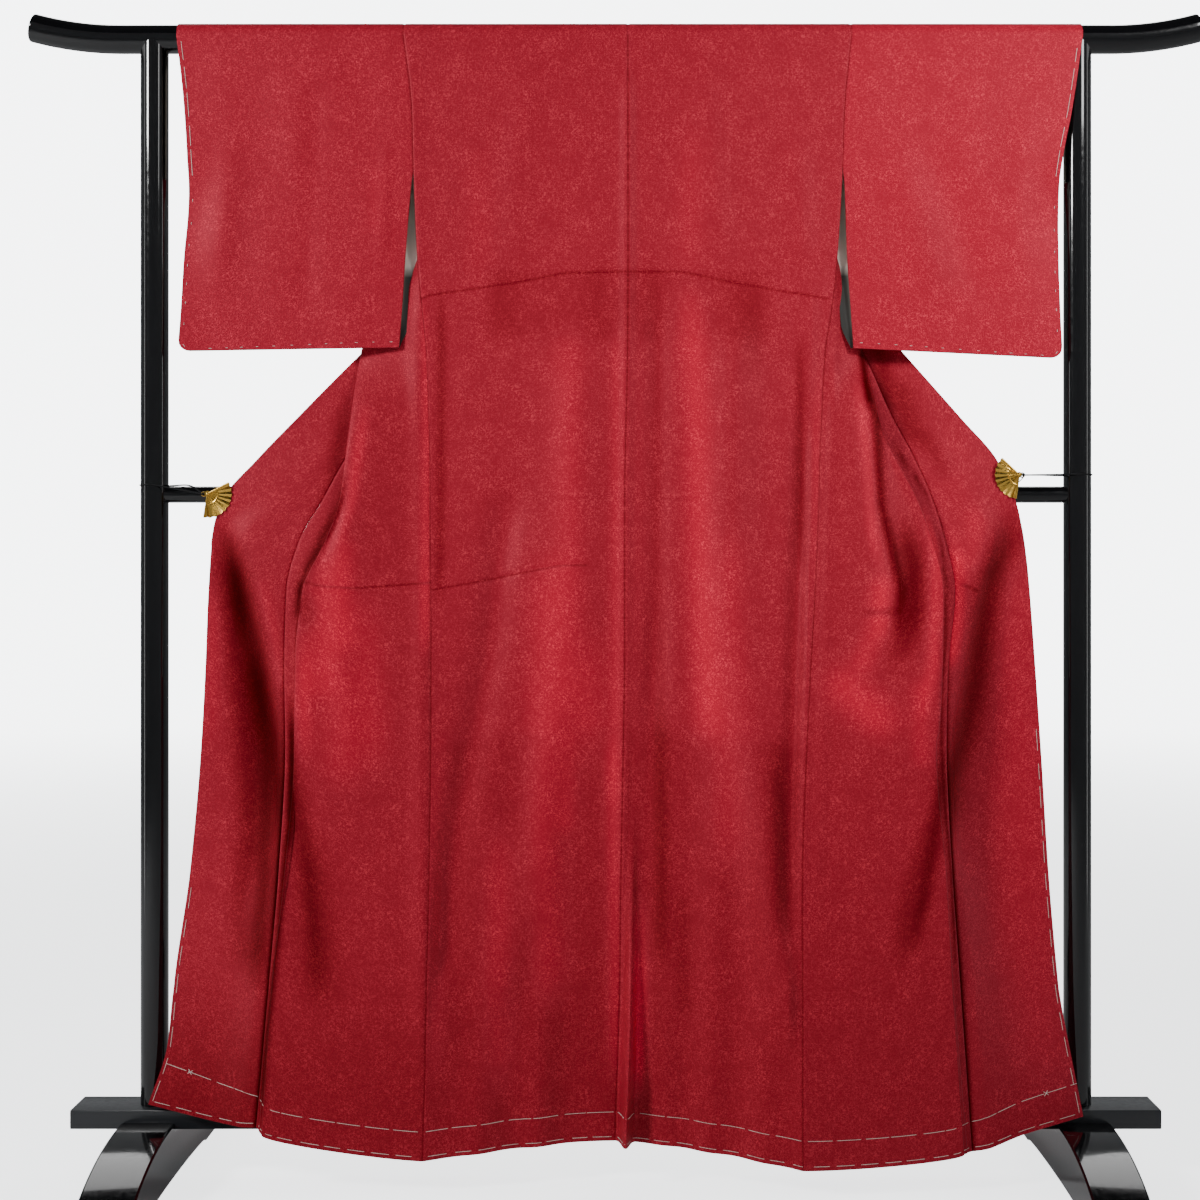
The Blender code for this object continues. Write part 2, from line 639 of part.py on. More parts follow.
def make_posts(parts, cutters):
    """Each post stands on the plank and takes the rail in a saddle at its top."""
    top = RAIL_Z - 0.006
    for name, x in (("post_left", -POST_X), ("post_right", POST_X)):
        bottom = PLANK_TOP + GAP
        post = cylinder(name, POST_R, top - bottom, (x, 0, (top + bottom) / 2), (0, 0, 0), LACQUER, parts)
        saddle = cylinder(f"{name}_saddle", RAIL_R + GAP, 0.06, (x, 0, RAIL_Z), (0, math.pi / 2, 0), None,
                          cutters)
        cutter(saddle, post)


def make_mid_rail(parts, cutters):
    half = POST_X - POST_R / 2
    rail = cylinder("mid_rail", MID_RAIL_R, 2 * half, (0, 0, MID_RAIL_Z), (0, math.pi / 2, 0), LACQUER, parts,
                    24)
    for name, x in (("mid_rail_left_cope", -POST_X), ("mid_rail_right_cope", POST_X)):
        cope = cylinder(name, POST_R + GAP, 0.05, (x, 0, MID_RAIL_Z), (0, 0, 0), None, cutters)
        cutter(cope, rail)


def make_plank(into):
    bpy.ops.mesh.primitive_cube_add(size=1, location=(0, 0, PLANK_TOP - PLANK_HEIGHT / 2))
    plank = bpy.context.object
    plank.name = "base_plank"
    plank.scale = (PLANK_LENGTH, PLANK_DEPTH, PLANK_HEIGHT)
    bpy.ops.object.transform_apply(location=False, rotation=False, scale=True)
    edge = plank.modifiers.new("edge", "BEVEL")
    edge.width = 0.0012
    edge.segments = 2
    place(plank, LACQUER, into)


def foot_outline():
    """Half of a foot's outline from the crown to the relief, as depth and height.

    The crown falls as a power of the depth.
    """
    y = np.linspace(0, FOOT_HALF - 0.002, 11)
    crown = FOOT_CROWN - FOOT_FALL * (y / FOOT_FALL_AT) ** 2.65
    half = list(zip(y, crown))
    nose = np.linspace(0, np.pi / 2, 4)
    tip = crown[-1] - 0.004
    half.append((FOOT_HALF, tip))
    half += [(FOOT_HALF - FOOT_NOSE * 0.4 * (1 - math.cos(a)), FOOT_NOSE * (1 - math.sin(a))) for a in nose]
    sole = np.linspace(RELIEF_HALF, 0, 6)
    half += [(a, RELIEF_HEIGHT * math.sin(math.acos(a / RELIEF_HALF)) ** 0.8) for a in sole]
    return half


def make_feet(parts, cutters):
    """Two curved feet with a notch across each, which the plank lies in."""
    half = foot_outline()
    outline = half + [(-y, z) for y, z in half[::-1]][1:-1]
    for name, x in (("foot_left", -POST_X), ("foot_right", POST_X)):
        shape = bmesh.new()
        ring = [shape.verts.new((x - FOOT_WIDTH / 2, y, z)) for y, z in outline]
        face = shape.faces.new(ring)
        grown = bmesh.ops.extrude_face_region(shape, geom=[face])
        moved = [g for g in grown["geom"] if isinstance(g, bmesh.types.BMVert)]
        bmesh.ops.translate(shape, verts=moved, vec=(FOOT_WIDTH, 0, 0))
        bmesh.ops.recalc_face_normals(shape, faces=shape.faces)
        mesh = bpy.data.meshes.new(name)
        shape.to_mesh(mesh)
        shape.free()
        foot = bpy.data.objects.new(name, mesh)
        bpy.context.scene.collection.objects.link(foot)
        edge = foot.modifiers.new("edge", "BEVEL")
        edge.width = 0.003
        edge.segments = 2
        edge.limit_method = "ANGLE"
        edge.angle_limit = math.radians(60)
        place(foot, LACQUER, parts)
        bpy.ops.mesh.primitive_cube_add(size=1, location=(x, 0, PLANK_TOP - GAP))
        notch = bpy.context.object
        notch.name = f"{name}_notch"
        notch.scale = (FOOT_WIDTH + 0.02, PLANK_DEPTH + 2 * GAP, 2 * PLANK_HEIGHT)
        bpy.ops.object.transform_apply(location=False, rotation=False, scale=True)
        place(notch, None, cutters)
        cutter(notch, foot)


def fan_points(first, last, ribs, rings):
    """A pleated fan leaf in its own plane: radius by angle, each fold line standing 0.8 mm fore or aft."""
    angle = np.radians(np.linspace(first, last, 2 * ribs + 1))[None, :]
    fold = np.where(np.arange(2 * ribs + 1) % 2, 1.0, -1.0)[None, :]
    radius = np.linspace(0.003, CLIP_RADIUS, rings)[:, None]
    radius = radius * (1 - 0.03 * (fold > 0) * (radius / CLIP_RADIUS) ** 2)
    depth = 0.0008 * fold * radius / CLIP_RADIUS
    return np.stack([radius * np.cos(angle), depth + 0 * radius, radius * np.sin(angle)], 2)


def make_clip(side, parts, cutters):
    """A fan leaf before the cloth and a jaw behind it, on one boss past its edge, and the cord's ring."""
    clip = CLIPS[side]
    px, py, pz = clip["pivot"]
    sign = -1 if side == "left" else 1
    fan = fan_points(clip["first"], clip["last"], 8, 4) + np.array([px, py, pz])
    leaf = sheet_object(f"clip_{side}", fan, CLIP_PLATE, GILT, parts)
    back = clip["jaw_y"]
    front = py - 0.0016
    boss = cylinder(f"clip_{side}_boss", 0.0042, back + 0.0006 - front, (px, (back + 0.0006 + front) / 2, pz),
                    (math.pi / 2, 0, 0), None, cutters, 20)
    cutter(boss, leaf, "UNION")
    bpy.ops.mesh.primitive_cube_add(size=1, location=(px - sign * 0.017, back, pz - 0.003))
    jaw = bpy.context.object
    jaw.name = f"clip_{side}_jaw"
    jaw.scale = (0.036, 0.0012, 0.011)
    bpy.ops.object.transform_apply(location=False, rotation=False, scale=True)
    place(jaw, None, cutters)
    cutter(jaw, leaf, "UNION")
    bpy.ops.mesh.primitive_torus_add(major_radius=0.0032, minor_radius=0.0009, major_segments=16,
                                     minor_segments=8, location=ring_centre(side), rotation=(math.pi / 2, 0, 0))
    ring = bpy.context.object
    ring.name = f"clip_{side}_ring"
    place(ring, None, cutters)
    cutter(ring, leaf, "UNION")


def ring_centre(side):
    px, _, pz = CLIPS[side]["pivot"]
    sign = -1 if side == "left" else 1
    return (px + sign * 0.0066, CLIPS[side]["jaw_y"] - 0.0055, pz)


def cord_route(side):
    """The elastic loop: through the clip's ring, along the back strand, round the post and back before it."""
    sign = -1 if side == "left" else 1
    rx, ry, rz = ring_centre(side)
    hold = rx + sign * (0.0032 - 0.0009 - CORD_R - GAP)
    post = sign * POST_X
    top = CLIPS[side]["post_z"]
    loop = POST_R + GAP + CORD_R
    turn = np.radians(np.linspace(55, 275, 15))
    ring = [(post - sign * loop * math.cos(a), loop * math.sin(a), top) for a in turn]
    start_x, start_y, _ = ring[0]
    clear = max(MID_RAIL_Z + MID_RAIL_R + CORD_R + 0.0008, rz + 0.0012)
    back = [(hold, ry, rz), (hold + sign * 0.0012, ry + 0.0022, rz + 0.0004)]
    for share, height in ((0.25, 0.75), (0.45, 1.0), (0.75, 1.0)):
        x = hold + (start_x - hold) * share
        y = ry + 0.002 + (start_y - ry - 0.002) * share
        back.append((x, y, rz + (clear - rz) * height))
    end_x, end_y, _ = ring[-1]
    ahead = [(end_x + (hold - end_x) * 0.5, end_y + (ry - 0.0022 - end_y) * 0.5, (top + rz) / 2),
             (hold + sign * 0.0012, ry - 0.0022, rz)]
    return back + ring + ahead


def make_kimono():
    parts = collection("komon kimono on its stand")
    cutters = collection("cutters")
    make_top_rail(parts)
    make_posts(parts, cutters)
    make_mid_rail(parts, cutters)
    make_plank(parts)
    make_feet(parts, cutters)
    for side in ("left", "right"):
        make_body(side, parts)
        make_okumi(side, parts)
        make_sleeve(side, parts)
        make_clip(side, parts, cutters)
        tube(f"cord_{side}", cord_route(side), CORD_R, CORD, parts, sides=1, cyclic=True)
    make_collar(parts)


clear_scene()
make_kimono()
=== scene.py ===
"""Komon kimono shown from the back on a lacquered stand: silk crepe with its lining, sewing and folds.

Every cloth piece is a sheet of the solid's own sections, at fine steps, with creases and seams worked in.
"""

import math

import bmesh
import bpy
import numpy as np
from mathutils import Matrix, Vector


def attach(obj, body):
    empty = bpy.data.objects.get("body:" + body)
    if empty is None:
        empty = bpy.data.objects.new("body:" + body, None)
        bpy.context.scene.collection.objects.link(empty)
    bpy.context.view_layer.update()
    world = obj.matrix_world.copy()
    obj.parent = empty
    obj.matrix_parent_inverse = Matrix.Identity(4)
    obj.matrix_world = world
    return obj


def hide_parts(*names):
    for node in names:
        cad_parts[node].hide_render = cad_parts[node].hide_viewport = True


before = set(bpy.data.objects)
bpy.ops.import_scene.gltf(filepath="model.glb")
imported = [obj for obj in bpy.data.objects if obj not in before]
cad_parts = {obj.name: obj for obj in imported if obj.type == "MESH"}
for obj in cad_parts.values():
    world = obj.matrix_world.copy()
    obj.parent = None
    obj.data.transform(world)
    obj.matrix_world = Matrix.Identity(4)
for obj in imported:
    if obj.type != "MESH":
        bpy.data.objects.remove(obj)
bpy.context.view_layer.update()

# Sizes shared with the solids, in metres
RAIL_Z = 1.653
RAIL_R = 0.0204
RAIL_HALF = 0.849
RAIL_STRAIGHT = 0.720
RAIL_BEND = 0.495
POST_X = 0.672
POST_R = 0.020
MID_RAIL_Z = 0.990
MID_RAIL_R = 0.012
PLANK_LENGTH = 1.570
PLANK_DEPTH = 0.070
PLANK_HEIGHT = 0.0275
PLANK_TOP = 0.1035
FOOT_HALF = 0.260
FOOT_WIDTH = 0.078
FOOT_CROWN = 0.086
FOOT_FALL = 0.018
FOOT_FALL_AT = 0.172
FOOT_NOSE = 0.012
RELIEF_HALF = 0.157
RELIEF_HEIGHT = 0.008
CENTRE_X = 0.0176
NECK_HALF = 0.0916
NECK_RISE = 0.0252
COLLAR_WIDTH = 0.055
COLLAR_END = {"left": 0.916, "right": 0.894}
COLLAR_LIFT = 0.0025
COLLAR_STAND = 0.0042
FOLD_REACH = 0.030
UNDERARM = 1.330
OPENING_TOP = 1.440
OKUMI_TOP = 1.420
HEM_REACH = 0.280
CLIP_RADIUS = 0.035
CORD_R = 0.00075
# Middle of the cloth where it goes round the rail, far enough out for flat facets to clear the wood
WRAP_R = 0.0216
# Height from which the collar turns over towards the neck
COLLAR_TURN = 1.52
# The clip's ring: out from the pivot, before the jaw, its radius and its wire's
RING_OUT = 0.0066
RING_BEFORE = 0.0055
RING_R = 0.0032
RING_WIRE = 0.0009
# The knot of the right elastic: its middle, its radius and its tail's route
KNOT = (0.5866, -0.033, 1.0177)
KNOT_R = 0.0022
KNOT_TAIL = [(0.5866, -0.033, 1.0165), (0.5850, -0.0335, 1.0120), (0.5815, -0.034, 1.0085),
             (0.580, -0.034, 1.007)]
# Radius where a fan's pleated leaf starts, and where its plain sticks end
LEAF_START = 0.0125
STICK_END = 0.0145
# Clearance of the plank in the feet's notches
NOTCH_GAP = 0.0003
# Radius of the basting thread
THREAD_R = 0.00035
# The upper hem basting's climb towards each free edge, and the height where that edge's basting ends
BASTING_ENDS = {"left": (0.023, 0.43), "right": (0.007, 0.66)}
# The photograph's eye, its sensor in millimetres, its picture and its shifts in pixels, and metres a pixel
EYE_X = 0.0248
EYE_Z = 0.87
EYE_DISTANCE = 2.6
SENSOR = 36
PICTURE = 1200
SHIFT_X = -33
SHIFT_Z = -23
PIXEL = 0.001457
# Across, the left side is negative
SIGN = {"left": -1, "right": 1}


def table(names, *rows):
    """Columns by name, turned from millimetres to metres."""
    return dict(zip(names.split(), np.array(rows, float).T / 1000))


# The fold lines of the spread fronts, from the side seam to the free edge
FOLD_LINES = "level side ridge valley seam brow foot edge"
SHEET_LINES = FOLD_LINES.split()[1:]

# Where each fold line of the spread fronts stands, across and in depth, at each height
ACROSS = {
    "left": table(
        FOLD_LINES,
        (1653, -307, -210, -86, -74, -74, -74, -74),
        (1550, -295, -222, -88, -117, -117, -117, -117),
        (1440, -292, -246, -115, -177, -177, -177, -177),
        (1330, -287, -289, -132, -216, -229, -244, -257),
        (1250, -279, -330, -202, -259, -278, -298, -318),
        (1200, -274, -371, -257, -288, -316, -342, -369),
        (1100, -270, -381, -303, -352, -389, -425, -463),
        (1040, -268, -387, -331, -392, -435, -477, -518),
        (980, -267, -393, -353, -423, -483, -534, -567),
        (920, -266, -412, -396, -455, -538, -567, -584),
        (850, -264, -442, -432, -471, -525, -561, -588),
        (750, -262, -450, -449, -473, -502, -545, -591),
        (620, -261, -451, -453, -470, -485, -524, -597),
        (450, -262, -464, -466, -477, -493, -529, -611),
        (280, -265, -482, -485, -490, -508, -552, -634),
        (140, -267, -489, -493, -498, -518, -566, -643),
        (0, -270, -496, -501, -506, -530, -585, -670),
    ),
    "right": table(
        FOLD_LINES,
        (1653, 341, 245, 121, 109, 109, 109, 109),
        (1550, 331, 262, 131, 168, 168, 168, 168),
        (1440, 327, 284, 160, 237, 237, 237, 237),
        (1330, 320, 322, 183, 286, 296, 305, 315),
        (1250, 311, 348, 236, 329, 345, 361, 377),
        (1200, 303, 358, 266, 360, 379, 399, 418),
        (1100, 297, 370, 303, 403, 436, 468, 501),
        (1040, 294, 400, 351, 433, 471, 510, 550),
        (980, 292, 430, 394, 457, 517, 553, 576),
        (920, 289, 449, 423, 473, 543, 571, 590),
        (850, 285, 463, 448, 485, 527, 568, 597),
        (750, 278, 458, 457, 475, 503, 548, 604),
        (620, 270, 451, 453, 471, 485, 530, 612),
        (450, 263, 464, 465, 477, 491, 533, 621),
        (280, 262, 473, 476, 487, 507, 554, 635),
        (0, 261, 489, 494, 502, 528, 580, 669),
    ),
}

# Both sides hang alike in depth down to 0.75 m
UPPER_DEPTH = (
    (1653, 21.6, 21.6, 21.6, 21.6, 21.6, 21.6, 21.6),
    (1550, 21.4, 23, 27, 33, 33, 33, 33),
    (1440, 16, 22, 27, 35, 35, 35, 35),
    (1330, -20, -4, 22, 31, 31, 31, 31),
    (1250, -21, 4, 16, 22, 22, 22, 22),
    (1200, -21, 3, 7, 12, 12, 11, 10),
    (1100, -24, -33, -15, -7, -8, -9, -11),
    (1040, -28, -45, -28, -20, -22, -22, -22),
    (980, -34, -56, -41, -31, -34, -32, -30),
    (920, -42, -68, -53, -42, -44, -30, -26),
    (850, -52, -80, -61, -50, -52, -31, -26),
    (750, -66, -90, -66, -56, -54, -29, -28),
)
DEPTH = {
    "left": table(
        FOLD_LINES,
        *UPPER_DEPTH,
        (620, -78, -93, -70, -63, -60, -32, -32),
        (450, -90, -97, -81, -76, -70, -46, -37),
        (280, -98, -97, -88, -84, -80, -58, -40),
        (0, -103, -96, -91, -88, -82, -58, -42),
    ),
    "right": table(
        FOLD_LINES,
        *UPPER_DEPTH,
        (620, -80, -93, -70, -63, -60, -32, -32),
        (450, -95, -98, -82, -76, -70, -46, -38),
        (280, -108, -100, -91, -87, -82, -60, -42),
        (0, -120, -98, -94, -90, -86, -70, -46),
    ),
}

# Height of the hem at each fold line
HEM = {
    "left": table("side ridge valley seam brow foot edge", (52, 86, 91, 95, 94, 98, 114)),
    "right": table("side ridge valley seam brow foot edge", (44, 60, 61, 62, 65, 80, 98)),
}

# How far the hem of each front sags below a straight line between its side seam and its ridge
HEM_BELLY = 0.006

# The centre back seam and the plain depth of the back beside it
CENTRE = table(
    "level across depth",
    (1653, 17.6, -21.6),
    (1330, 17.6, -23),
    (1200, 17, -25),
    (980, 13, -29),
    (750, 13, -36),
    (620, 11, -40),
    (450, 8, -43),
    (280, 6, -45),
    (0, -1, -48),
)

# Height of the hem at the centre back seam
CENTRE_HEM = 0.064

# Long soft flutes of the back: distance from the centre seam, half width, depth at the hem, height of its end
FLUTES = table(
    "across half_width depth top",
    (15, 6.5, -36, 560),
    (-190, 26, -7, 900),
    (-108, 24, -8, 1150),
    (68, 24, -6, 1150),
    (130, 26, -9, 1250),
    (205, 24, -7, 1050),
)

# Hollows in the shown fronts: share of the way from side seam to ridge, its spread, depth, height, reach
HOLLOWS = {
    "left": dict(share=0.85, spread=0.12, depth=0.005, level=0.94, reach=0.05),
    "right": dict(share=0.78, spread=0.12, depth=0.005, level=0.93, reach=0.12),
}

# Outlines of the sleeves: the body join and the outer edge at each height, and the two layers' depth
SLEEVES = {
    "left": table(
        "level inner outer back front",
        (1653, -307, -635, -21.6, 21.6),
        (1550, -295, -624, -21.6, 21.5),
        (1470, -292, -619, -21.8, 20),
        (1440, -295, -618, -22, 15),
        (1330, -304, -625, -22, -8),
        (1250, -309, -629, -22, -14),
        (1197, -313, -633, -22, -17),
    ),
    "right": table(
        "level inner outer back front",
        (1653, 341, 675, -21.6, 21.6),
        (1550, 331, 660, -21.7, 21.7),
        (1470, 328, 645, -21.9, 21.7),
        (1440, 330, 642, -22, 17),
        (1330, 334, 641, -22, -8),
        (1250, 339, 643, -22, -14),
        (1187, 343, 646, -22, -17),
    ),
}

# Radius of a sleeve's lower corner
SLEEVE_CORNER = 0.016
# Half the distance between a sleeve's two layers at its closed outer edge
SLEEVE_EDGE = 0.0025
# How far a sleeve's bottom stands higher at its inner edge
SLEEVE_SLANT = {"left": 0.005, "right": 0.014}

# Each clip's pivot, its first and last rib in degrees, its jaw's depth and its cord's height on the post
CLIPS = {
    "left": dict(pivot=(-0.587, -0.0331, 0.9897), first=-98, last=27, jaw_y=-0.0226, post_z=1.0035),
    "right": dict(pivot=(0.580, -0.0333, 1.0170), first=137, last=262, jaw_y=-0.0186, post_z=1.0187),
}


def hermite(a, b, slope_a, slope_b, t):
    """Cubic from a to b with the two end slopes, at t from 0 to 1."""
    return ((1 - t) ** 2 * (1 + 2 * t) * a + t**2 * (3 - 2 * t) * b
            + t * (1 - t) ** 2 * slope_a - t**2 * (1 - t) * slope_b)


def smooth(at, knots, values):
    """Monotone cubic through the rows of values: a slope is the weighted harmonic mean of its two rises."""
    order = np.argsort(knots)
    knots = knots[order]
    values = values[order]
    step = np.diff(knots)[:, None]
    rise = np.diff(values, axis=0) / step
    before = 2 * step[1:] + step[:-1]
    after = step[1:] + 2 * step[:-1]
    one_way = rise[:-1] * rise[1:] > 0
    low = np.where(one_way, rise[:-1], 1)
    high = np.where(one_way, rise[1:], 1)
    mean = (before + after) / (before / low + after / high)
    slope = np.vstack([rise[:1], np.where(one_way, mean, 0), rise[-1:]])
    i = np.clip(np.searchsorted(knots, at) - 1, 0, len(knots) - 2)
    t = (at - knots[i])[:, None] / step[i]
    return hermite(values[i], values[i + 1], slope[i] * step[i], slope[i + 1] * step[i], t)


def column(tab, name, levels):
    """One column of a table at the given levels, by the monotone cubic."""
    return smooth(levels, tab["level"], tab[name][:, None])[:, 0]


def ease(t):
    """Smooth step: three times the square of t less twice its cube, with t held between 0 and 1."""
    t = np.clip(t, 0, 1)
    return t * t * (3 - 2 * t)


def lean(levels, hem):
    """Height of a row: the level itself above HEM_REACH, and evenly down to the hem's height below it."""
    return np.where(levels < HEM_REACH, hem + levels / HEM_REACH * (HEM_REACH - hem), levels)


def stations(side, levels):
    """Points of the seven fold lines, as levels by lines by x, y, z. The lowest rows lean to the hem."""
    across = ACROSS[side]
    x = smooth(levels, across["level"], np.stack([across[n] for n in SHEET_LINES], 1))
    y = smooth(levels, DEPTH[side]["level"], np.stack([DEPTH[side][n] for n in SHEET_LINES], 1))
    hem = np.array([HEM[side][n][0] for n in SHEET_LINES])
    return np.stack([x, y, lean(levels[:, None], hem[None, :])], 2)


def line_slopes(points, levels):
    """End slopes at each station. But for the rows high up, the ridge and the valley turn straight back."""
    step = np.linalg.norm(np.diff(points, axis=1), axis=2)
    slopes = np.empty_like(points)
    slopes[:, 1:-1] = points[:, 2:] - points[:, :-2]
    slopes[:, 0] = points[:, 1] - points[:, 0]
    slopes[:, -1] = points[:, -1] - points[:, -2]
    turned = (ease((UNDERARM + 0.05 - levels) / 0.05), ease((RAIL_Z - 0.03 - levels) / 0.05))
    for line, share in zip((1, 2), turned):
        plain = slopes[:, line] / np.maximum(np.linalg.norm(slopes[:, line], axis=1), 1e-9)[:, None]
        slopes[:, line] = plain * (1 - share)[:, None] + np.array([0, 1, 0]) * share[:, None]
    reach = np.hstack([step[:, :1], np.minimum(step[:, 1:], step[:, :-1]), step[:, -1:]])
    for line, share in zip((1, 2), turned):
        reach[:, line] += share * (np.minimum(reach[:, line], FOLD_REACH) - reach[:, line])
    return slopes * (reach / np.maximum(np.linalg.norm(slopes, axis=2), 1e-9))[:, :, None]


def stretch(points, slopes, line, shares, start, end):
    """Points from one station to the next at the given shares, clear of its ends by start and end."""
    a, b = points[:, line], points[:, line + 1]
    length = np.maximum(np.linalg.norm(b - a, axis=1), 1e-6)
    low = (start / length)[:, None]
    high = (end / length)[:, None]
    t = (low + shares[None, :] * (1 - low - high))[:, :, None]
    return hermite(a[:, None], b[:, None], slopes[:, None, line], slopes[:, None, line + 1], t)


def joined(*runs):
    """Runs of points put end to end, without repeating the point that two of them share."""
    return np.concatenate([runs[0]] + [run[:, 1:] for run in runs[1:]], axis=1)


def flutes(x, levels):
    """Depth of the back's long flutes, as bells across that fade out towards each one's top.

    Here x is measured from the centre seam.
    """
    total = np.zeros_like(x)
    for middle, half, depth, top in zip(*(FLUTES[n] for n in ("across", "half_width", "depth", "top"))):
        total += depth * np.exp(-(((x - middle) / half) ** 2)) * ease(1 - levels[:, None] / top)
    return total


def behind(side, x, levels):
    """Depth of the front's last layer at points across and up: never less than nearer to its edge."""
    front = front_sheet(side, levels)[:, -FRONT_CELLS[2] - 1:]
    row = joined(front, okumi_sheet(side, levels))[:, ::-1]
    sign = SIGN[side]
    out = -sign * row[:, :, 0]
    depth = np.maximum.accumulate(row[:, :, 1], axis=1)
    i = np.clip((out < -sign * x[:, None]).sum(1) - 1, 0, out.shape[1] - 2)[:, None]
    a, b = np.take_along_axis(out, i, 1)[:, 0], np.take_along_axis(out, i + 1, 1)[:, 0]
    low, high = np.take_along_axis(depth, i, 1)[:, 0], np.take_along_axis(depth, i + 1, 1)[:, 0]
    return low + (high - low) * np.clip((-sign * x - a) / np.maximum(b - a, 1e-9), 0, 1)


def collar_path(side, rows, neck_rows):
    """Half of the collar's seam line on the unrolled cloth, from its lower end to the centre back."""
    sign = SIGN[side]
    levels = np.linspace(COLLAR_END[side], RAIL_Z, rows + 1)
    along = column(ACROSS[side], "edge", levels)
    turn = np.linspace(0, np.pi / 2, neck_rows + 1)[1:]
    neck_x = CENTRE_X + sign * NECK_HALF * np.cos(turn)
    neck_h = RAIL_Z + NECK_RISE * np.sin(turn)
    return np.stack([np.append(along, neck_x), np.append(levels, neck_h)], 1)


def collar_sheet(side, rows, neck_rows, widths):
    """Half of the folded collar, hanging behind its seam line. Past the rail it lies round the wood."""
    path = collar_path(side, rows, neck_rows)
    sign = SIGN[side]
    run = np.gradient(path, axis=0)
    run /= np.linalg.norm(run, axis=1)[:, None]
    square = np.stack([-sign * run[:, 1], sign * run[:, 0]], 1)
    done = np.clip((path[:, 1] - COLLAR_TURN) / (RAIL_Z - COLLAR_TURN), 0, 1)
    round_neck = np.append(np.zeros(rows + 1), np.linspace(0, 1, neck_rows + 1)[1:])
    fall = math.radians(45) + math.radians(45) * ease((done + round_neck) / 2)
    hung = np.stack([-sign * np.cos(fall), -np.sin(fall)], 1)
    side_share = ease(done * 1.5)[:, None]
    square = square * (1 - side_share) + hung * side_share
    square /= np.linalg.norm(square, axis=1)[:, None]
    flat = path[:, None] + square[:, None] * widths[None, :, None]
    stand = COLLAR_LIFT + (COLLAR_STAND - COLLAR_LIFT) * ease(widths / 0.012)[None, :]
    level = np.clip(flat[:, :, 1], 0.8, RAIL_Z)
    hang = behind(side, flat[:, :, 0].ravel(), level.ravel()).reshape(level.shape)
    turn = np.maximum(flat[:, :, 1] - RAIL_Z, 0) / WRAP_R
    y = np.where(turn > 0, (WRAP_R + stand) * np.cos(turn), hang + stand)
    z = np.where(turn > 0, RAIL_Z + (WRAP_R + stand) * np.sin(turn), flat[:, :, 1])
    return np.stack([flat[:, :, 0], y, z], 2)


def sleeve_sheet(side, rise, shares, arc_steps):
    """A sleeve as rows round it: up the back layer, over the rail, and down the far layer to the bottom."""
    tab = SLEEVES[side]
    bottom = tab["level"].min()
    levels = np.append(bottom + rise, RAIL_Z)
    u = shares[None, :]
    inner = column(tab, "inner", levels)
    outer = column(tab, "outer", levels)
    sign = SIGN[side]
    sewn = ease((levels - OPENING_TOP) / 0.03)
    inner = inner + (column(ACROSS[side], "side", levels) - inner) * sewn + sign * GAP
    round_off = np.clip(SLEEVE_CORNER - (levels - bottom), 0, None)
    outer = outer - sign * (SLEEVE_CORNER - np.sqrt(SLEEVE_CORNER**2 - round_off**2))
    x = inner[:, None] + (outer - inner)[:, None] * u
    z = levels[:, None] + SLEEVE_SLANT[side] * (1 - u) * (1 - ease((levels - bottom) / 0.2))[:, None]
    back = np.stack([x, column(tab, "back", levels)[:, None] + 0 * x, z], 2)
    plain = column(tab, "front", levels)
    join = (column(DEPTH[side], "side", levels) - plain) * sewn
    front = np.stack([x, plain[:, None] + join[:, None] * (1 - ease(u / 0.5)), z], 2)
    closed = np.clip((OPENING_TOP + 0.03 - levels) / 0.1, 0, 1)[:, None] * ease((u - 0.8) / 0.2)
    middle = (back[:, :, 1] + front[:, :, 1]) / 2
    back[:, :, 1] += (middle - SLEEVE_EDGE - back[:, :, 1]) * closed
    front[:, :, 1] += (middle + SLEEVE_EDGE - front[:, :, 1]) * closed
    turn = np.pi * (1 - np.linspace(0, 1, arc_steps + 1)[1:-1])
    arc = np.stack([x[-1][None, :] + 0 * turn[:, None], (WRAP_R * np.cos(turn))[:, None] + 0 * x[-1],
                    (RAIL_Z + WRAP_R * np.sin(turn))[:, None] + 0 * x[-1]], 2)
    return np.concatenate([back, arc, front[::-1]])


def ring_centre(side):
    """Middle of the clip's ring, out from the pivot and before the jaw."""
    px, _, pz = CLIPS[side]["pivot"]
    return (px + SIGN[side] * RING_OUT, CLIPS[side]["jaw_y"] - RING_BEFORE, pz)


def cord_route(side):
    """The elastic loop: through the clip's ring, along the back strand, round the post and back before it."""
    sign = SIGN[side]
    rx, ry, rz = ring_centre(side)
    hold = rx + sign * (RING_R - RING_WIRE - CORD_R - GAP)
    post = sign * POST_X
    top = CLIPS[side]["post_z"]
    loop = POST_R + GAP + CORD_R
    turn = np.radians(np.linspace(55, 275, 15))
    ring = [(post - sign * loop * math.cos(a), loop * math.sin(a), top) for a in turn]
    start_x, start_y, _ = ring[0]
    clear = max(MID_RAIL_Z + MID_RAIL_R + CORD_R + 0.0008, rz + 0.0012)
    back = [(hold, ry, rz), (hold + sign * 0.0012, ry + 0.0022, rz + 0.0004)]
    for share, height in ((0.25, 0.75), (0.45, 1.0), (0.75, 1.0)):
        x = hold + (start_x - hold) * share
        y = ry + 0.002 + (start_y - ry - 0.002) * share
        back.append((x, y, rz + (clear - rz) * height))
    end_x, end_y, _ = ring[-1]
    ahead = [(end_x + (hold - end_x) * 0.5, end_y + (ry - 0.0022 - end_y) * 0.5, (top + rz) / 2),
             (hold + sign * 0.0012, ry - 0.0022, rz)]
    return back + ring + ahead


def crowded(cells, start=(), end=()):
    """Shares from 0 to 1: even ones, with closer ones added near the start and near the end."""
    return np.unique(np.concatenate([np.linspace(0, 1, cells + 1), start, 1 - np.array(end)]))


# The seams close to a hair, where the solids keep a wider gap
GAP = 0.00004
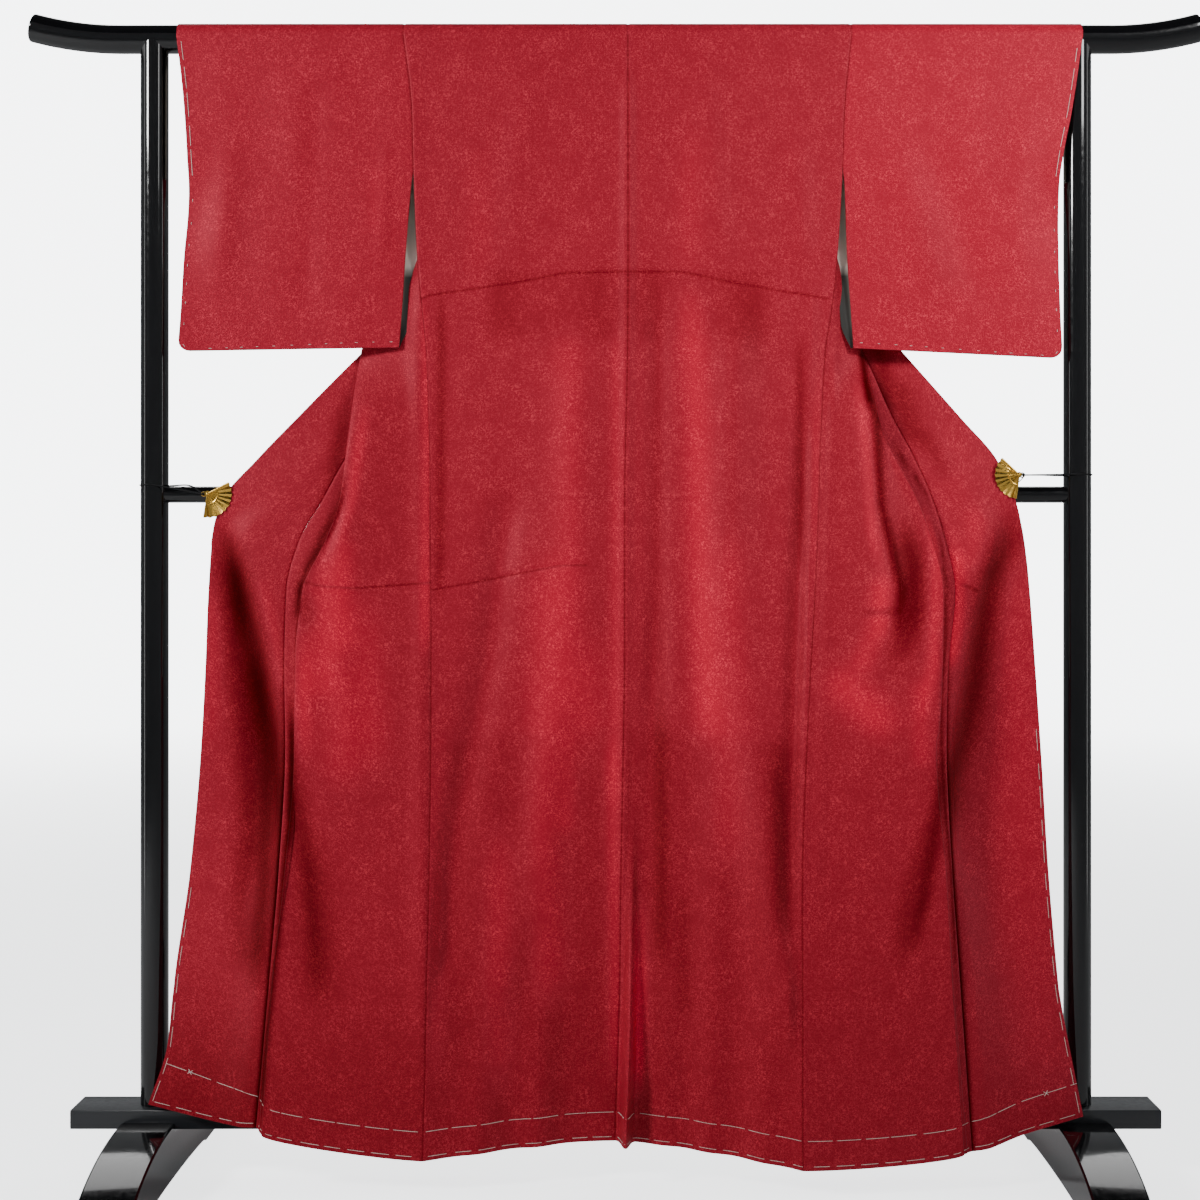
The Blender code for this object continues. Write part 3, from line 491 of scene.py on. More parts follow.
# Walls of the cloth and of the folded collar
CLOTH = 0.0010
COLLAR_WALL = 0.0020
# Shares across each stretch of cloth, closer beside the seams and the sharp folds
NEAR = (0.004, 0.009, 0.018)
FRONT_SHARES = (crowded(34, start=NEAR), crowded(22), crowded(12, end=(0.02, 0.05, 0.10)))
OKUMI_SHARES = (crowded(8, start=(0.02, 0.05)), crowded(8), crowded(10))
FRONT_CELLS = tuple(len(s) - 1 for s in FRONT_SHARES)
ARC_STEPS = 18
NECK_COLUMNS = np.concatenate([[0, 0.0009, 0.0018], np.arange(0.003, 0.030, 0.002),
                               np.linspace(0.031, NECK_HALF, 15)])
# Rows of the body, finer across the waist crease and the tuck
LEVELS = np.concatenate([np.arange(0, 0.838, 0.010), np.arange(0.838, 0.892, 0.002),
                         np.arange(0.892, 1.266, 0.010), np.arange(1.268, 1.314, 0.002),
                         np.arange(1.316, RAIL_Z - 0.004, 0.010), [RAIL_Z]])
SLEEVE_RISE = np.concatenate([[0, 0.001, 0.0025, 0.005, 0.009, 0.016], np.arange(0.024, 0.452, 0.009)])
SLEEVE_SHARES = crowded(52, start=NEAR, end=NEAR)
# How high above its bottom the sleeve's mouth begins
MOUTH_RISE = 0.25
# Depth and half width of the groove at a seam, and of the fine dark line where a row starts or ends at one
SEAM_DIP = 0.0008
SEAM_HALF = 0.0016
START_LINE = (0.45, 0.0012)
END_LINE = (0.40, 0.0010)
# Distance from a side seam over which folds fade out
HELD = 0.02
# Rows of the body up its back, the first row of its front, and the columns inside the neck
SHOULDER = len(LEVELS)
FRONT_AT = SHOULDER + ARC_STEPS - 1
INSIDE = len(NECK_COLUMNS) - 1


def fold_lines(side, levels):
    """The stations and their end slopes at each level, and zeros for the stretches that keep no gap."""
    points = stations(side, levels)
    return points, line_slopes(points, levels), np.zeros(len(levels))


def front_sheet(side, levels):
    """The front from side seam to okumi seam, or to the neck edge above the okumi's point.

    Before the ridge lies a hollow: a bell across and up, with what it has left at the ridge taken off again.
    """
    points, slopes, none = fold_lines(side, levels)
    shares = FRONT_SHARES[0]
    first = stretch(points, slopes, 0, shares, none + GAP / 2, none)
    hollow = HOLLOWS[side]
    across = np.exp(-(((shares - hollow["share"]) / hollow["spread"]) ** 2)) - shares**8 * math.exp(
        -(((1 - hollow["share"]) / hollow["spread"]) ** 2))
    along = np.exp(-(((levels - hollow["level"]) / hollow["reach"]) ** 2))
    first[:, :, 1] += hollow["depth"] * across[None, :] * along[:, None]
    low = np.clip(1 - levels / HEM_REACH, 0, 1)[:, None]
    first[:, :, 2] -= HEM_BELLY * low * (4 * shares * (1 - shares))[None, :]
    return joined(first, stretch(points, slopes, 1, FRONT_SHARES[1], none, none),
                  stretch(points, slopes, 2, FRONT_SHARES[2], none, none + GAP / 2))


def okumi_sheet(side, levels):
    """The overlap strip from the okumi seam to its free edge."""
    points, slopes, none = fold_lines(side, levels)
    return joined(stretch(points, slopes, 3, OKUMI_SHARES[0], none + GAP / 2, none),
                  stretch(points, slopes, 4, OKUMI_SHARES[1], none, none),
                  stretch(points, slopes, 5, OKUMI_SHARES[2], none, none))


def back_sheet(side, levels, outer):
    """The back from centre to side seam: depth runs from the centre's to the side's, with the flutes added.

    The columns past the neck stand where the front's stand at the shoulder, given as outer.
    """
    points = stations(side, levels)
    sign = SIGN[side]
    centre = column(CENTRE, "across", levels) + sign * GAP / 2
    edge = points[:, 0, 0] - sign * GAP / 2
    full = abs(points[-1, 0, 0] - CENTRE_X)
    u = np.concatenate([NECK_COLUMNS[:-1] / full, outer / outer[-1]])[None, :]
    x = centre[:, None] + (edge - centre)[:, None] * u
    plain = column(CENTRE, "depth", levels)
    open_side = np.where(levels > UNDERARM, -WRAP_R - 0.0004 * ease((RAIL_Z - levels) / 0.1), points[:, 0, 1])
    y = plain[:, None] + (open_side - plain)[:, None] * u**1.6
    y = y + flutes(x - column(CENTRE, "across", levels)[:, None], levels) * (1 - ease((u - 0.9) / 0.1))
    z = lean(levels[:, None], CENTRE_HEM + (HEM[side]["side"][0] - CENTRE_HEM) * u**1.6)
    return np.stack([x, y, z], 2)


def body_sheet(side):
    """One length of cloth: up the back, over the rail, down the front. Rows are across it, from hem to hem.

    Across the neck the cloth ends past the rail's top, on a curve shaped as a quarter of an ellipse.
    """
    front = front_sheet(side, LEVELS[::-1])[:, ::-1]
    step = np.maximum(np.diff(np.abs(front[0, :, 0] - CENTRE_X)), 0.0008)
    full = abs(front[0, -1, 0] - CENTRE_X)
    outer = NECK_HALF + np.concatenate([[0], np.cumsum(step)]) * (full - NECK_HALF) / step.sum()
    back = back_sheet(side, LEVELS, outer)
    front = np.concatenate([np.repeat(front[:, :1], INSIDE, axis=1), front], axis=1)
    along = np.linspace(0, 1, ARC_STEPS + 1)[1:, None]
    end = np.zeros(back.shape[1])
    end[:INSIDE] = NECK_RISE / WRAP_R * np.sqrt(1 - (NECK_COLUMNS[:-1] / NECK_HALF) ** 2)
    turn = np.pi + (end[None, :] - np.pi) * along
    x = back[-1, :, 0] + (front[0, :, 0] - back[-1, :, 0]) * ease(along)
    x[:, :INSIDE] = back[-1, :INSIDE, 0]
    arc = np.stack([x, WRAP_R * np.cos(turn), RAIL_Z + WRAP_R * np.sin(turn)], 2)
    arc[-1, INSIDE:] = front[0, INSIDE:]
    return np.concatenate([back, arc, front[1:]])


def normals(points):
    """Unit normals of a grid: the cross product of its steps along the columns and along the rows."""
    made = np.cross(np.gradient(points, axis=1), np.gradient(points, axis=0))
    return made / np.maximum(np.linalg.norm(made, axis=2), 1e-12)[:, :, None]


def outward(points, side):
    """Unit normals towards the cloth's right side. The left half's columns run the other way."""
    return normals(points) * SIGN[side]


def from_start(points):
    """Distance along each row from its first point."""
    step = np.linalg.norm(np.diff(points, axis=1), axis=2)
    return np.concatenate([np.zeros((len(points), 1)), np.cumsum(step, axis=1)], axis=1)


def from_seam(points):
    """Distance along each row to its last point, which is the side seam or the open side."""
    run = from_start(points)
    return run[:, -1:] - run


def from_first_row(points):
    """Distance along each column from its first point."""
    return from_start(points.swapaxes(0, 1)).T


def below_rail(points):
    """Share of a fold's height near the rail, where the cloth lies on the wood: it fades over 60 mm."""
    return ease((RAIL_Z - 0.004 - points[..., 2]) / 0.06)


def seam_groove(points, side, first=0.0, last=0.0, level=None):
    """Draws the cloth in beside its seams: a bell of the distance to the row's first or last point.

    In the level rows it goes straight away from the viewer at the row's end, alike on both sides of the seam.
    """
    way = outward(points, side)
    if level is not None:
        way[level, -12:] = (0, -1, 0)
    dip = first * np.exp(-((from_start(points) / SEAM_HALF) ** 2))
    dip = dip + last * np.exp(-((from_seam(points) / SEAM_HALF) ** 2))
    return points - way * (SEAM_DIP * dip)[:, :, None]


def near_line(points, line):
    """Distance to a line of points in millimetres across and up, and the height above that line."""
    place = points[..., [0, 2]]
    ends = np.array(line, float) / 1000
    nearest = np.full(points.shape[:-1], 9.0)
    for a, b in zip(ends[:-1], ends[1:]):
        run = b - a
        t = np.clip(((place - a) @ run) / (run @ run), 0, 1)
        nearest = np.minimum(nearest, np.linalg.norm(place - a - t[..., None] * run, axis=-1))
    order = ends[np.argsort(ends[:, 0])]
    above = place[..., 1] - np.interp(place[..., 0], order[:, 0], order[:, 1])
    return nearest, above


def bell(points, width, line):
    """A bell of the distance to a given line. A line over 0.15 m high also fades at its ends."""
    nearest, _ = near_line(points, line)
    made = np.exp(-((nearest / (width / 1000)) ** 2))
    high, low = max(line[0][1], line[-1][1]) / 1000, min(line[0][1], line[-1][1]) / 1000
    if high - low > 0.15:
        made *= ease((points[..., 2] - low) / 0.1 + 0.4) * ease((high - points[..., 2]) / 0.1 + 0.4)
    return made


def faded(points, line, reach):
    """Share left of a line's effect past its two ends, across, fading over the reach."""
    ends = np.array(line, float)[:, 0] / 1000
    x = points[..., 0]
    return ease((x - ends.min()) / reach + 0.5) * ease((ends.max() - x) / reach + 0.5)


def creased(points, side, creases, held=0.0, level=False):
    """Soft troughs and ridges along given lines: the height of each is its bell times its own depth.

    They fade out over the distance held from the row's end, so that the two edges of a seam stay together.
    Where level is set they rise straight towards the viewer instead, alike on both sides of a seam.
    """
    lift = np.zeros(points.shape[:-1])
    for depth, width, line in creases:
        lift += depth / 1000 * bell(points, width, line)
    lift *= below_rail(points)
    if held:
        lift *= ease(from_seam(points) / held)
    way = np.array([0, -1.0, 0]) if level else outward(points, side)
    return points + way * lift[..., None]


def ledge(points, side):
    """The sewn tuck: the cloth above its line stands proud, by a logistic step that dies away upwards."""
    _, above = near_line(points, TUCK)
    step = 1 / (1 + np.exp(-np.clip(above / 0.0012, -60, 60))) * np.exp(-np.clip(above, 0, 1) / 0.035)
    return points + outward(points, side) * (TUCK_DEPTH * step * faded(points, TUCK, 0.02))[..., None]


def swell(points, side, waves):
    """Slow uneven swell: a sum of slanted sine waves across and up, each with its own height."""
    x, z = points[..., 0], points[..., 2]
    lift = np.zeros(x.shape)
    for depth, wave_x, wave_z, phase in waves:
        lift += depth / 1000 * np.sin(2 * np.pi * (x / wave_x + z / wave_z) + phase)
    return points + outward(points, side) * (lift * below_rail(points))[..., None]


# Folds: height and half width in millimetres, then the line's points across and up. A trough is negative
TUCK = [(-290, 1268), (-270, 1277), (-146, 1295), (-72, 1309), (15, 1311), (94, 1311), (182, 1293),
        (307, 1272)]
TUCK_DEPTH = 0.0011
BACK_FOLDS = [
    (-11.0, 24, [(-150, 1000), (-167, 900), (-174, 800), (-190, 690), (-212, 578), (-226, 491),
                 (-234, 405), (-238, 300)]),
    (8.0, 32, [(-59, 1180), (-59, 840), (-70, 690), (-102, 578), (-118, 450), (-150, 330), (-166, 260)]),
    (4.2, 10, [(17, 1600), (16, 1200), (13, 900), (11, 650), (8, 400)]),
    (-6.0, 17, [(62, 1290), (60, 1100), (58, 840), (52, 650)]),
    (-6.0, 17, [(58, 840), (52, 650), (48, 480), (46, 330)]),
    (12.0, 31, [(172, 1230), (168, 1000), (167, 837), (186, 664), (196, 578), (215, 491), (225, 405),
                (240, 318), (250, 220)]),
    (-8.0, 14, [(274, 1110), (268, 960), (260, 837), (254, 693), (250, 578), (247, 491), (246, 405),
                (250, 318)]),
    (2.6, 20, [(-130, 1600), (-138, 1520), (-146, 1400), (-149, 1310)]),
    (3.0, 20, [(118, 1625), (125, 1600), (138, 1470), (153, 1326)]),
    (3.0, 20, [(262, 1500), (266, 1400), (268, 1310)]),
    (-0.8, 3.2, [(-447, 853), (-424, 847), (-378, 844), (-265, 851), (-198, 863), (-143, 874), (-81, 886),
                 (-43, 887)]),
    (0.4, 8, [(-447, 862), (-424, 856), (-378, 853), (-265, 860), (-198, 872), (-143, 883), (-81, 895),
              (-43, 896)]),
]
SEAM_FOLDS = {
    "left": [(4.5, 13, [(-292, 1290), (-283, 1100), (-276, 840), (-274, 600), (-272, 400), (-272, 200)])],
    "right": [(2.5, 10, [(283, 1280), (279, 1096), (272, 837), (266, 640), (262, 400)])],
}
FRONT_FOLDS = {
    "left": [
        (4.0, 18, [(-386, 960), (-388, 900), (-390, 837), (-383, 724), (-374, 610)]),
        (-0.8, 3.2, [(-447, 853), (-424, 847), (-378, 844), (-265, 851)]),
        (0.4, 8, [(-447, 862), (-424, 856), (-378, 853), (-265, 860)]),
        (-3.0, 12, [(-450, 830), (-440, 818)]),
        (-7.0, 28, [(-456, 563), (-444, 405), (-432, 300)]),
    ],
    "right": [
        (2.5, 9, [(316, 1240), (306, 1000), (300, 837), (290, 640), (282, 400)]),
        (-1.0, 5, [(352, 823), (378, 821), (401, 824)]),
        (8.0, 13, [(360, 1184), (369, 1076), (378, 987), (392, 896), (401, 824)]),
        (4.0, 10, [(448, 790), (455, 654)]),
    ],
}
OKUMI_FOLDS = {
    "left": [(-12.0, 26, [(-562, 925), (-548, 851), (-525, 762), (-508, 671), (-500, 582), (-500, 491),
                          (-504, 405)])],
    "right": [(-0.8, 4, [(493, 858), (507, 850)]),
              (-12.0, 24, [(566, 942), (538, 851), (518, 779), (506, 707), (500, 618), (497, 527),
                           (494, 447)])],
}
SLEEVE_FOLDS = {
    "left": [(1.5, 9, [(-332, 1480), (-338, 1340)]), (2.5, 22, [(-560, 1500), (-575, 1300)]),
             (-1.5, 16, [(-430, 1600), (-440, 1400), (-450, 1260)])],
    "right": [(2.5, 26, [(412, 1480), (440, 1370), (474, 1269)]),
              (-3.0, 26, [(462, 1480), (500, 1370), (530, 1269)]), (2.0, 25, [(590, 1560), (585, 1300)])],
}
# Swell: height in millimetres, then the wave's length across and up in metres, and its phase
SWELL = [(0.5, 0.31, 2.7, 0.4), (0.35, 0.17, -1.9, 1.3), (0.3, 3.0, 0.23, 2.1), (0.22, -0.42, 0.15, 0.9)]
SLEEVE_SWELL = {
    "left": [(0.6, 0.24, 1.4, 0.3), (0.4, -0.13, 0.62, 1.9), (0.25, 0.08, 0.3, 0.5)],
    "right": [(0.6, -0.27, 1.2, 1.1), (0.4, 0.15, 0.55, 0.2), (0.25, -0.09, 0.27, 2.2)],
}
# How far the sleeve's far layer reaches in behind the gap beside it
FAR_REACH = 0.015

# Painted shade in the folds and along fine creases, as folds are given. A negative one is a painted highlight
BACK_PAINTED_SHADING = [
    (-0.3, 16, [(-69, 636), (-71, 521)]),
    (-0.26, 24, [(-37, 780), (-40, 607)]),
    (-0.4, 12, [(35, 320), (32, 133)]),
    (0.16, 12, [(95, 406), (98, 263)]),
    (0.12, 18, [(196, 1182), (199, 1268)]),
    (-0.3, 26, [(164, 923), (161, 693), (161, 464)]),
    (-0.14, 22, [(-304, 981), (-307, 607)]),
    (0.34, 1.5, TUCK),
    (0.34, 1.5, [(-265, 851), (-198, 863), (-143, 874), (-81, 886), (-43, 887)]),
    (0.12, 14, [(263, 1060), (252, 837), (246, 640), (240, 491)]),
    (0.10, 26, [(-165, 1300), (-160, 1240)]),
    (0.09, 22, [(-27, 1308), (-25, 1225)]),
    (0.10, 18, [(50, 1308), (52, 1230)]),
    (0.10, 24, [(180, 1290), (186, 1220)]),
    (-0.62, 20, [(107, 1282), (118, 1095), (121, 894), (130, 708), (132, 636)]),
    (-0.16, 20, [(110, 1512), (104, 1311)]),
    (-0.3, 24, [(-69, 1225), (-71, 981), (-66, 650)]),
    (-0.42, 26, [(-97, 894), (-102, 693), (-97, 464), (-92, 263)]),
    (-0.28, 11, [(3, 1225), (2, 894), (-1, 550)]),
    (-0.45, 12, [(-5, 636), (-2, 406), (0, 148)]),
    (-0.12, 20, [(-198, 1483), (-195, 1282)]),
    (0.12, 12, [(58, 1225), (59, 894), (64, 693)]),
    (0.4, 13, [(64, 693), (65, 492), (66, 320)]),
    (-0.5, 11, [(35, 406), (33, 248), (33, 133)]),
    (0.36, 15, [(230, 636), (230, 521), (233, 377)]),
    (-0.22, 14, [(-252, 636), (-255, 464), (-252, 176)]),
    (-0.36, 22, [(-166, 507), (-166, 334), (-166, 148)]),
    (-0.4, 8, [(-281, 1282), (-281, 1124), (-281, 923), (-281, 808)]),
    (0.3, 8, [(-252, 1282), (-252, 1124), (-252, 923), (-251, 837)]),
    (0.3, 8, [(266, 1210), (266, 1067), (266, 894)]),
    (-0.26, 8, [(292, 1167), (292, 1009), (289, 808)]),
]
FRONT_PAINTED_SHADING = {
    "left": [
        (0.7, 6, [(-461, 696), (-460, 597), (-462, 513), (-469, 442), (-475, 357), (-484, 273),
                  (-493, 188), (-499, 103)]),
        (0.25, 26, [(-428, 513), (-420, 442), (-410, 357), (-410, 273)]),
        (0.5, 6, [(-451, 859), (-454, 816)]),
        (-0.25, 14, [(-382, 908), (-380, 781)]),
        (-0.7, 8, [(-272, 1282), (-272, 1124), (-271, 894), (-270, 765)]),
        (-0.45, 12, [(-438, 781), (-438, 696), (-436, 626)]),
        (-0.32, 30, [(-363, 838), (-352, 710), (-344, 612)]),
        (0.42, 1.6, [(-441, 863), (-416, 857), (-371, 854), (-259, 862)]),
        (0.45, 2.4, [(-392, 949), (-420, 914), (-438, 887), (-450, 852), (-455, 781), (-455, 696)]),
        (0.62, 9, [(-389, 1010), (-395, 972), (-420, 925), (-443, 873), (-448, 849)]),
        (0.3, 14, [(-441, 833), (-433, 816)]),
        (0.62, 8, [(-457, 661), (-455, 597), (-457, 513), (-465, 485)]),
        (0.42, 15, [(-451, 597), (-440, 513), (-430, 442), (-424, 372), (-419, 287)]),
        (-0.55, 9, [(-361, 1113), (-369, 1049), (-378, 979), (-392, 922)]),
        (-0.62, 24, [(-395, 915), (-403, 852), (-406, 781), (-414, 710)]),
        (-0.3, 34, [(-396, 710), (-382, 612)]),
        (0.16, 150, [(-460, 117), (-248, 117)]),
    ],
    "right": [
        (0.75, 6, [(357, 1198), (361, 1155), (365, 1120)]),
        (0.25, 14, [(441, 527), (424, 470), (406, 400), (399, 329)]),
        (0.42, 16, [(413, 936), (424, 887), (424, 823), (410, 767)]),
        (-0.3, 26, [(326, 718), (362, 679)]),
        (-0.35, 14, [(427, 710), (430, 619)]),
        (-0.3, 10, [(382, 866), (374, 795)]),
        (0.4, 2.4, [(352, 822), (379, 819), (402, 823)]),
        (0.45, 2.4, [(365, 1111), (409, 1049), (444, 996), (467, 915), (472, 852), (470, 780), (464, 708),
                     (463, 637), (468, 530), (475, 449), (479, 322)]),
        (0.62, 8, [(361, 1155), (374, 1092), (376, 1028), (378, 972), (393, 908), (405, 852), (400, 795)]),
        (0.3, 18, [(409, 950), (416, 894), (413, 809), (396, 753)]),
        (-0.55, 9, [(351, 1148), (357, 1078), (364, 1007), (368, 929), (379, 880)]),
        (-0.5, 16, [(376, 852), (368, 795), (351, 753)]),
        (-0.6, 10, [(450, 979), (455, 894), (450, 809), (447, 753), (433, 682)]),
        (-0.36, 28, [(326, 710), (374, 668)]),
        (0.52, 12, [(463, 612), (455, 555), (444, 485), (430, 414), (416, 350)]),
    ],
}
OKUMI_PAINTED_SHADING = {
    "left": [
        (0.28, 18, [(-529, 479), (-535, 407), (-532, 336)]),
        (0.6, 18, [(-524, 765), (-514, 694), (-505, 608), (-501, 522), (-501, 436), (-504, 365),
                   (-509, 293)]),
        (0.5, 14, [(-564, 944), (-555, 894), (-544, 837), (-535, 780)]),
        (0.5, 9, [(-475, 551), (-478, 450), (-484, 379)]),
        (0.7, 26, [(-555, 916), (-541, 851), (-524, 780), (-506, 694), (-492, 637), (-478, 565),
                   (-475, 508)]),
        (0.42, 20, [(-558, 880), (-547, 794), (-538, 694), (-528, 579), (-524, 479)]),
        (0.34, 14, [(-392, 1131), (-399, 1066), (-409, 995), (-435, 930)]),
        (-0.3, 9, [(-506, 859), (-486, 780), (-478, 723)]),
        (-0.25, 16, [(-580, 873), (-582, 765), (-587, 637)]),
        (0.34, 150, [(-610, 107), (-495, 107)]),
    ],
    "right": [
        (0.45, 16, [(386, 1209), (390, 1123)]),
        (0.35, 22, [(414, 1138), (429, 1081)]),
        (0.25, 16, [(453, 1066), (473, 1029)]),
        (-0.5, 12, [(479, 930), (489, 866), (486, 801), (476, 740)]),
        (-0.3, 14, [(516, 952), (513, 894)]),
        (-0.12, 40, [(479, 1081), (486, 894)]),
        (0.62, 24, [(568, 942), (542, 873), (530, 808), (522, 751), (513, 694), (496, 629), (479, 579),
                    (476, 508)]),
        (-0.55, 12, [(487, 894), (486, 823), (479, 758)]),
        (-0.2, 44, [(579, 894), (582, 694), (593, 407), (616, 150)]),
        (0.42, 2.4, [(497, 859), (516, 850)]),
    ],
}
SLEEVE_PAINTED_SHADING = {
    "left": [(-0.10, 12, [(-345, 1450), (-350, 1380)]), (0.06, 26, [(-540, 1480), (-550, 1290)])],
    "right": [(0.09, 30, [(452, 1370), (468, 1310)]), (0.05, 22, [(560, 1560), (560, 1400)])],
}

# Darker patches on the back: left, right, low and high in millimetres, and depth
DARK_PATCHES = [(-186, 226, 1213, 1312, 0.08), (-186, 250, 980, 992, 0.05)]
# Painted light: how much lighter each sleeve's colour is drawn than the lamps alone make it
SLEEVE_PAINTED_LIGHT = {"left": 1.08, "right": 1.22}


def painted_falloff(points):
    """Painted fall-off of the light: the colour darkens a little from 0.56 m to 0.14 m above the floor."""
    return 1 - 0.08 * ease((560 - points[..., 2] * 1000) / 420)


def painted_shade(points, shades, first=False, last=False):
    """Painted shade and painted highlights along the given lines: 1, less each line's bell times its depth.

    A seam at the row's first or last point shows as a fine dark line.
    """
    made = np.ones(points.shape[:-1])
    for depth, width, line in shades:
        made *= 1 - depth * bell(points, width, line)
    if first:
        made *= 1 - START_LINE[0] * np.exp(-((from_start(points) / START_LINE[1]) ** 2))
    if last:
        made *= 1 - END_LINE[0] * np.exp(-((from_seam(points) / END_LINE[1]) ** 2))
    return made


def under_fold(points):
    """How light the overlap strip looks beside its seam, where the front's folded edge shades it."""
    depth = 0.1 + 0.72 * ease((0.80 - points[..., 2]) / 0.35)
    return 1 - depth * np.exp(-((from_start(points) / 0.0048) ** 2))


def tone(points):
    """How light the back is drawn: 1, less the depth of each dark patch, whose edges are soft.

    Below an arc at 0.64 m the red lower lining takes over from the ivory one, and the cloth looks darker.
    The painted fall-off of the light and the painted shade and highlights of the folds multiply this.
    """
    x, z = points[..., 0] * 1000, points[..., 2] * 1000
    made = 1 - 0.09 * ease((653 - 25 * (x / 250) ** 2 - z) / 14 + 0.5)
    for left, right, low, high, depth in DARK_PATCHES:
        across = ease((x - left) / 24 + 0.5) * ease((right - x) / 24 + 0.5)
        made -= depth * across * ease((z - low) / 10 + 0.5) * ease((high - z) / 8 + 0.5)
    return made * painted_falloff(points) * painted_shade(points, BACK_PAINTED_SHADING, True, True)


def linear(code):
    """An sRGB hex colour as linear light."""
    share = np.array([int(code[k:k + 2], 16) for k in (0, 2, 4)]) / 255
    return (*np.where(share <= 0.04045, share / 12.92, ((share + 0.055) / 1.055) ** 2.4), 1.0)


def add(tree, kind, settings, links):
    """Adds a shader node with its own settings. Links give an input a value or another node's output."""
    made = tree.nodes.new("ShaderNode" + kind)
    for name, value in settings.items():
        setattr(made, name, value)
    for name, value in links.items():
        if isinstance(value, bpy.types.NodeSocket):
            tree.links.new(value, made.inputs[name])
        else:
            made.inputs[name].default_value = value
    return made


def finish_of(name, uniform, cloth=False):
    """A new material with a shader of uniform values. Returns it with its tree, its shader and its places.

    The places are metres along the cloth's own map, or else metres along the piece's axes.
    """
    made = bpy.data.materials.new(name)
    made.use_nodes = True
    tree = made.node_tree
    shader = tree.nodes["Principled BSDF"]
    for key, value in uniform.items():
        shader.inputs[key].default_value = value
    if cloth:
        place = add(tree, "UVMap", {"uv_map": "cloth"}, {}).outputs["UV"]
    else:
        place = add(tree, "TexCoord", {}, {}).outputs["Object"]
    return made, tree, shader, place


def noise(tree, place, scale, detail, flat=False, **more):
    """Smooth noise, with its scale in periods a metre. A flat one is for the cloth's map."""
    return add(tree, "TexNoise", {"noise_dimensions": "2D" if flat else "3D"},
               {"Vector": place, "Scale": scale, "Detail": detail, **more}).outputs[0]


def twist(tree, place, scale, bend=0.0):
    """Slanted even waves, as the plies of a thread or the ribs of a braid stand."""
    return add(tree, "TexWave", {"bands_direction": "DIAGONAL"},
               {"Vector": place, "Scale": scale, "Distortion": bend}).outputs[1]


def worked(tree, operation, *values):
    """The result of one step of arithmetic on numbers or other nodes' outputs."""
    return add(tree, "Math", {"operation": operation}, dict(enumerate(values))).outputs[0]


def ranged(tree, value, old, new, curve="LINEAR"):
    """A value carried from its old range to a new one, and held within it."""
    links = {0: value, 1: old[0], 2: old[1], 3: new[0], 4: new[1]}
    return add(tree, "MapRange", {"interpolation_type": curve}, links).outputs[0]


def mixed(tree, share, one, two, blend="MIX"):
    """Two colours mixed by a share from 0 to 1. Each is an sRGB hex colour or another node's output."""
    one, two = (linear(colour) if isinstance(colour, str) else colour for colour in (one, two))
    return add(tree, "Mix", {"data_type": "RGBA", "blend_type": blend}, {0: share, 6: one, 7: two}).outputs[2]


def feed(tree, shader, **values):
    """Links nodes' outputs to the shader's inputs, named with _ for a space."""
    for name, value in values.items():
        tree.links.new(value, shader.inputs[name.replace("_", " ")])


def relief(tree, shader, strength, distance, height):
    """Lets the light read a height in the surface."""
    bump = add(tree, "Bump", {}, {"Strength": strength, "Distance": distance, "Height": height})
    feed(tree, shader, Normal=bump.outputs[0])


def woven_silk(name, ground, light, roughness):
    """Silk crepe: hard-twisted weft shrinks to tiny uneven grains, which break the gloss into a soft sheen.

    The small repeat is of curled lines lighter than the ground: the level lines of a smooth noise, near 3 mm
    apart. The grains are near 1.2 mm, drawn at 2.2 mm so that they show. The dye is multiplied by the tone of
    each point, which holds the painted shade and painted highlights. Below 1 green, blue and gloss fall as
    its power 1.5, keeping the painted shade deep red, and above 1 blue rises as its power 0.6.
    """
    made, tree, shader, place = finish_of(name, {
        "Roughness": roughness, "IOR": 1.54, "Specular Tint": linear("f07884"), "Sheen Weight": 0.03,
        "Sheen Roughness": 0.4, "Sheen Tint": linear("f0a0a8")}, cloth=True)
    curl = noise(tree, place, 290.0, 1.0, True, Roughness=0.4, Distortion=0.6)
    off = worked(tree, "ABSOLUTE", worked(tree, "SUBTRACT", curl, 0.5))
    line = ranged(tree, off, (0.01, 0.08), (1.0, 0.0), "SMOOTHSTEP")
    share = worked(tree, "MULTIPLY", line, noise(tree, place, 30.0, 4.0, True))
    dyed = mixed(tree, share, ground, light)
    toned = add(tree, "Attribute", {"attribute_name": "tone"}, {}).outputs["Fac"]
    drained = worked(tree, "POWER", worked(tree, "MINIMUM", toned, 1.0), 1.5)
    cool = worked(tree, "POWER", worked(tree, "MAXIMUM", toned, 1.0), 0.6)
    blue = worked(tree, "MULTIPLY", drained, cool)
    cast = add(tree, "CombineColor", {}, {0: toned, 1: drained, 2: blue}).outputs[0]
    feed(tree, shader, Base_Color=mixed(tree, 1.0, dyed, cast, "MULTIPLY"),
         Specular_IOR_Level=worked(tree, "MULTIPLY", drained, 0.5))
    grain = noise(tree, place, 450.0, 2.0, True)
    relief(tree, shader, 0.5, 0.0004, worked(tree, "MULTIPLY_ADD", line, 0.5, grain))
    return made


def plain_silk(name, colour):
    """Plain-woven lining silk: smooth and a little glossy, with a fine uneven grain that pales it."""
    made, tree, shader, place = finish_of(name, {
        "Roughness": 0.5, "IOR": 1.54, "Specular IOR Level": 0.3, "Sheen Weight": 0.03,
        "Sheen Roughness": 0.4}, cloth=True)
    rib = noise(tree, place, 60.0, 5.0, True)
    soft = mixed(tree, 0.12, colour, mixed(tree, rib, colour, "ffffff"))
    # The tone multiplies the colour: it paints shade near black deep inside a sleeve
    toned = add(tree, "Attribute", {"attribute_name": "tone"}, {}).outputs["Color"]
    feed(tree, shader, Base_Color=mixed(tree, 1.0, soft, toned, "MULTIPLY"))
    relief(tree, shader, 0.3, 0.0003, rib)
    return made


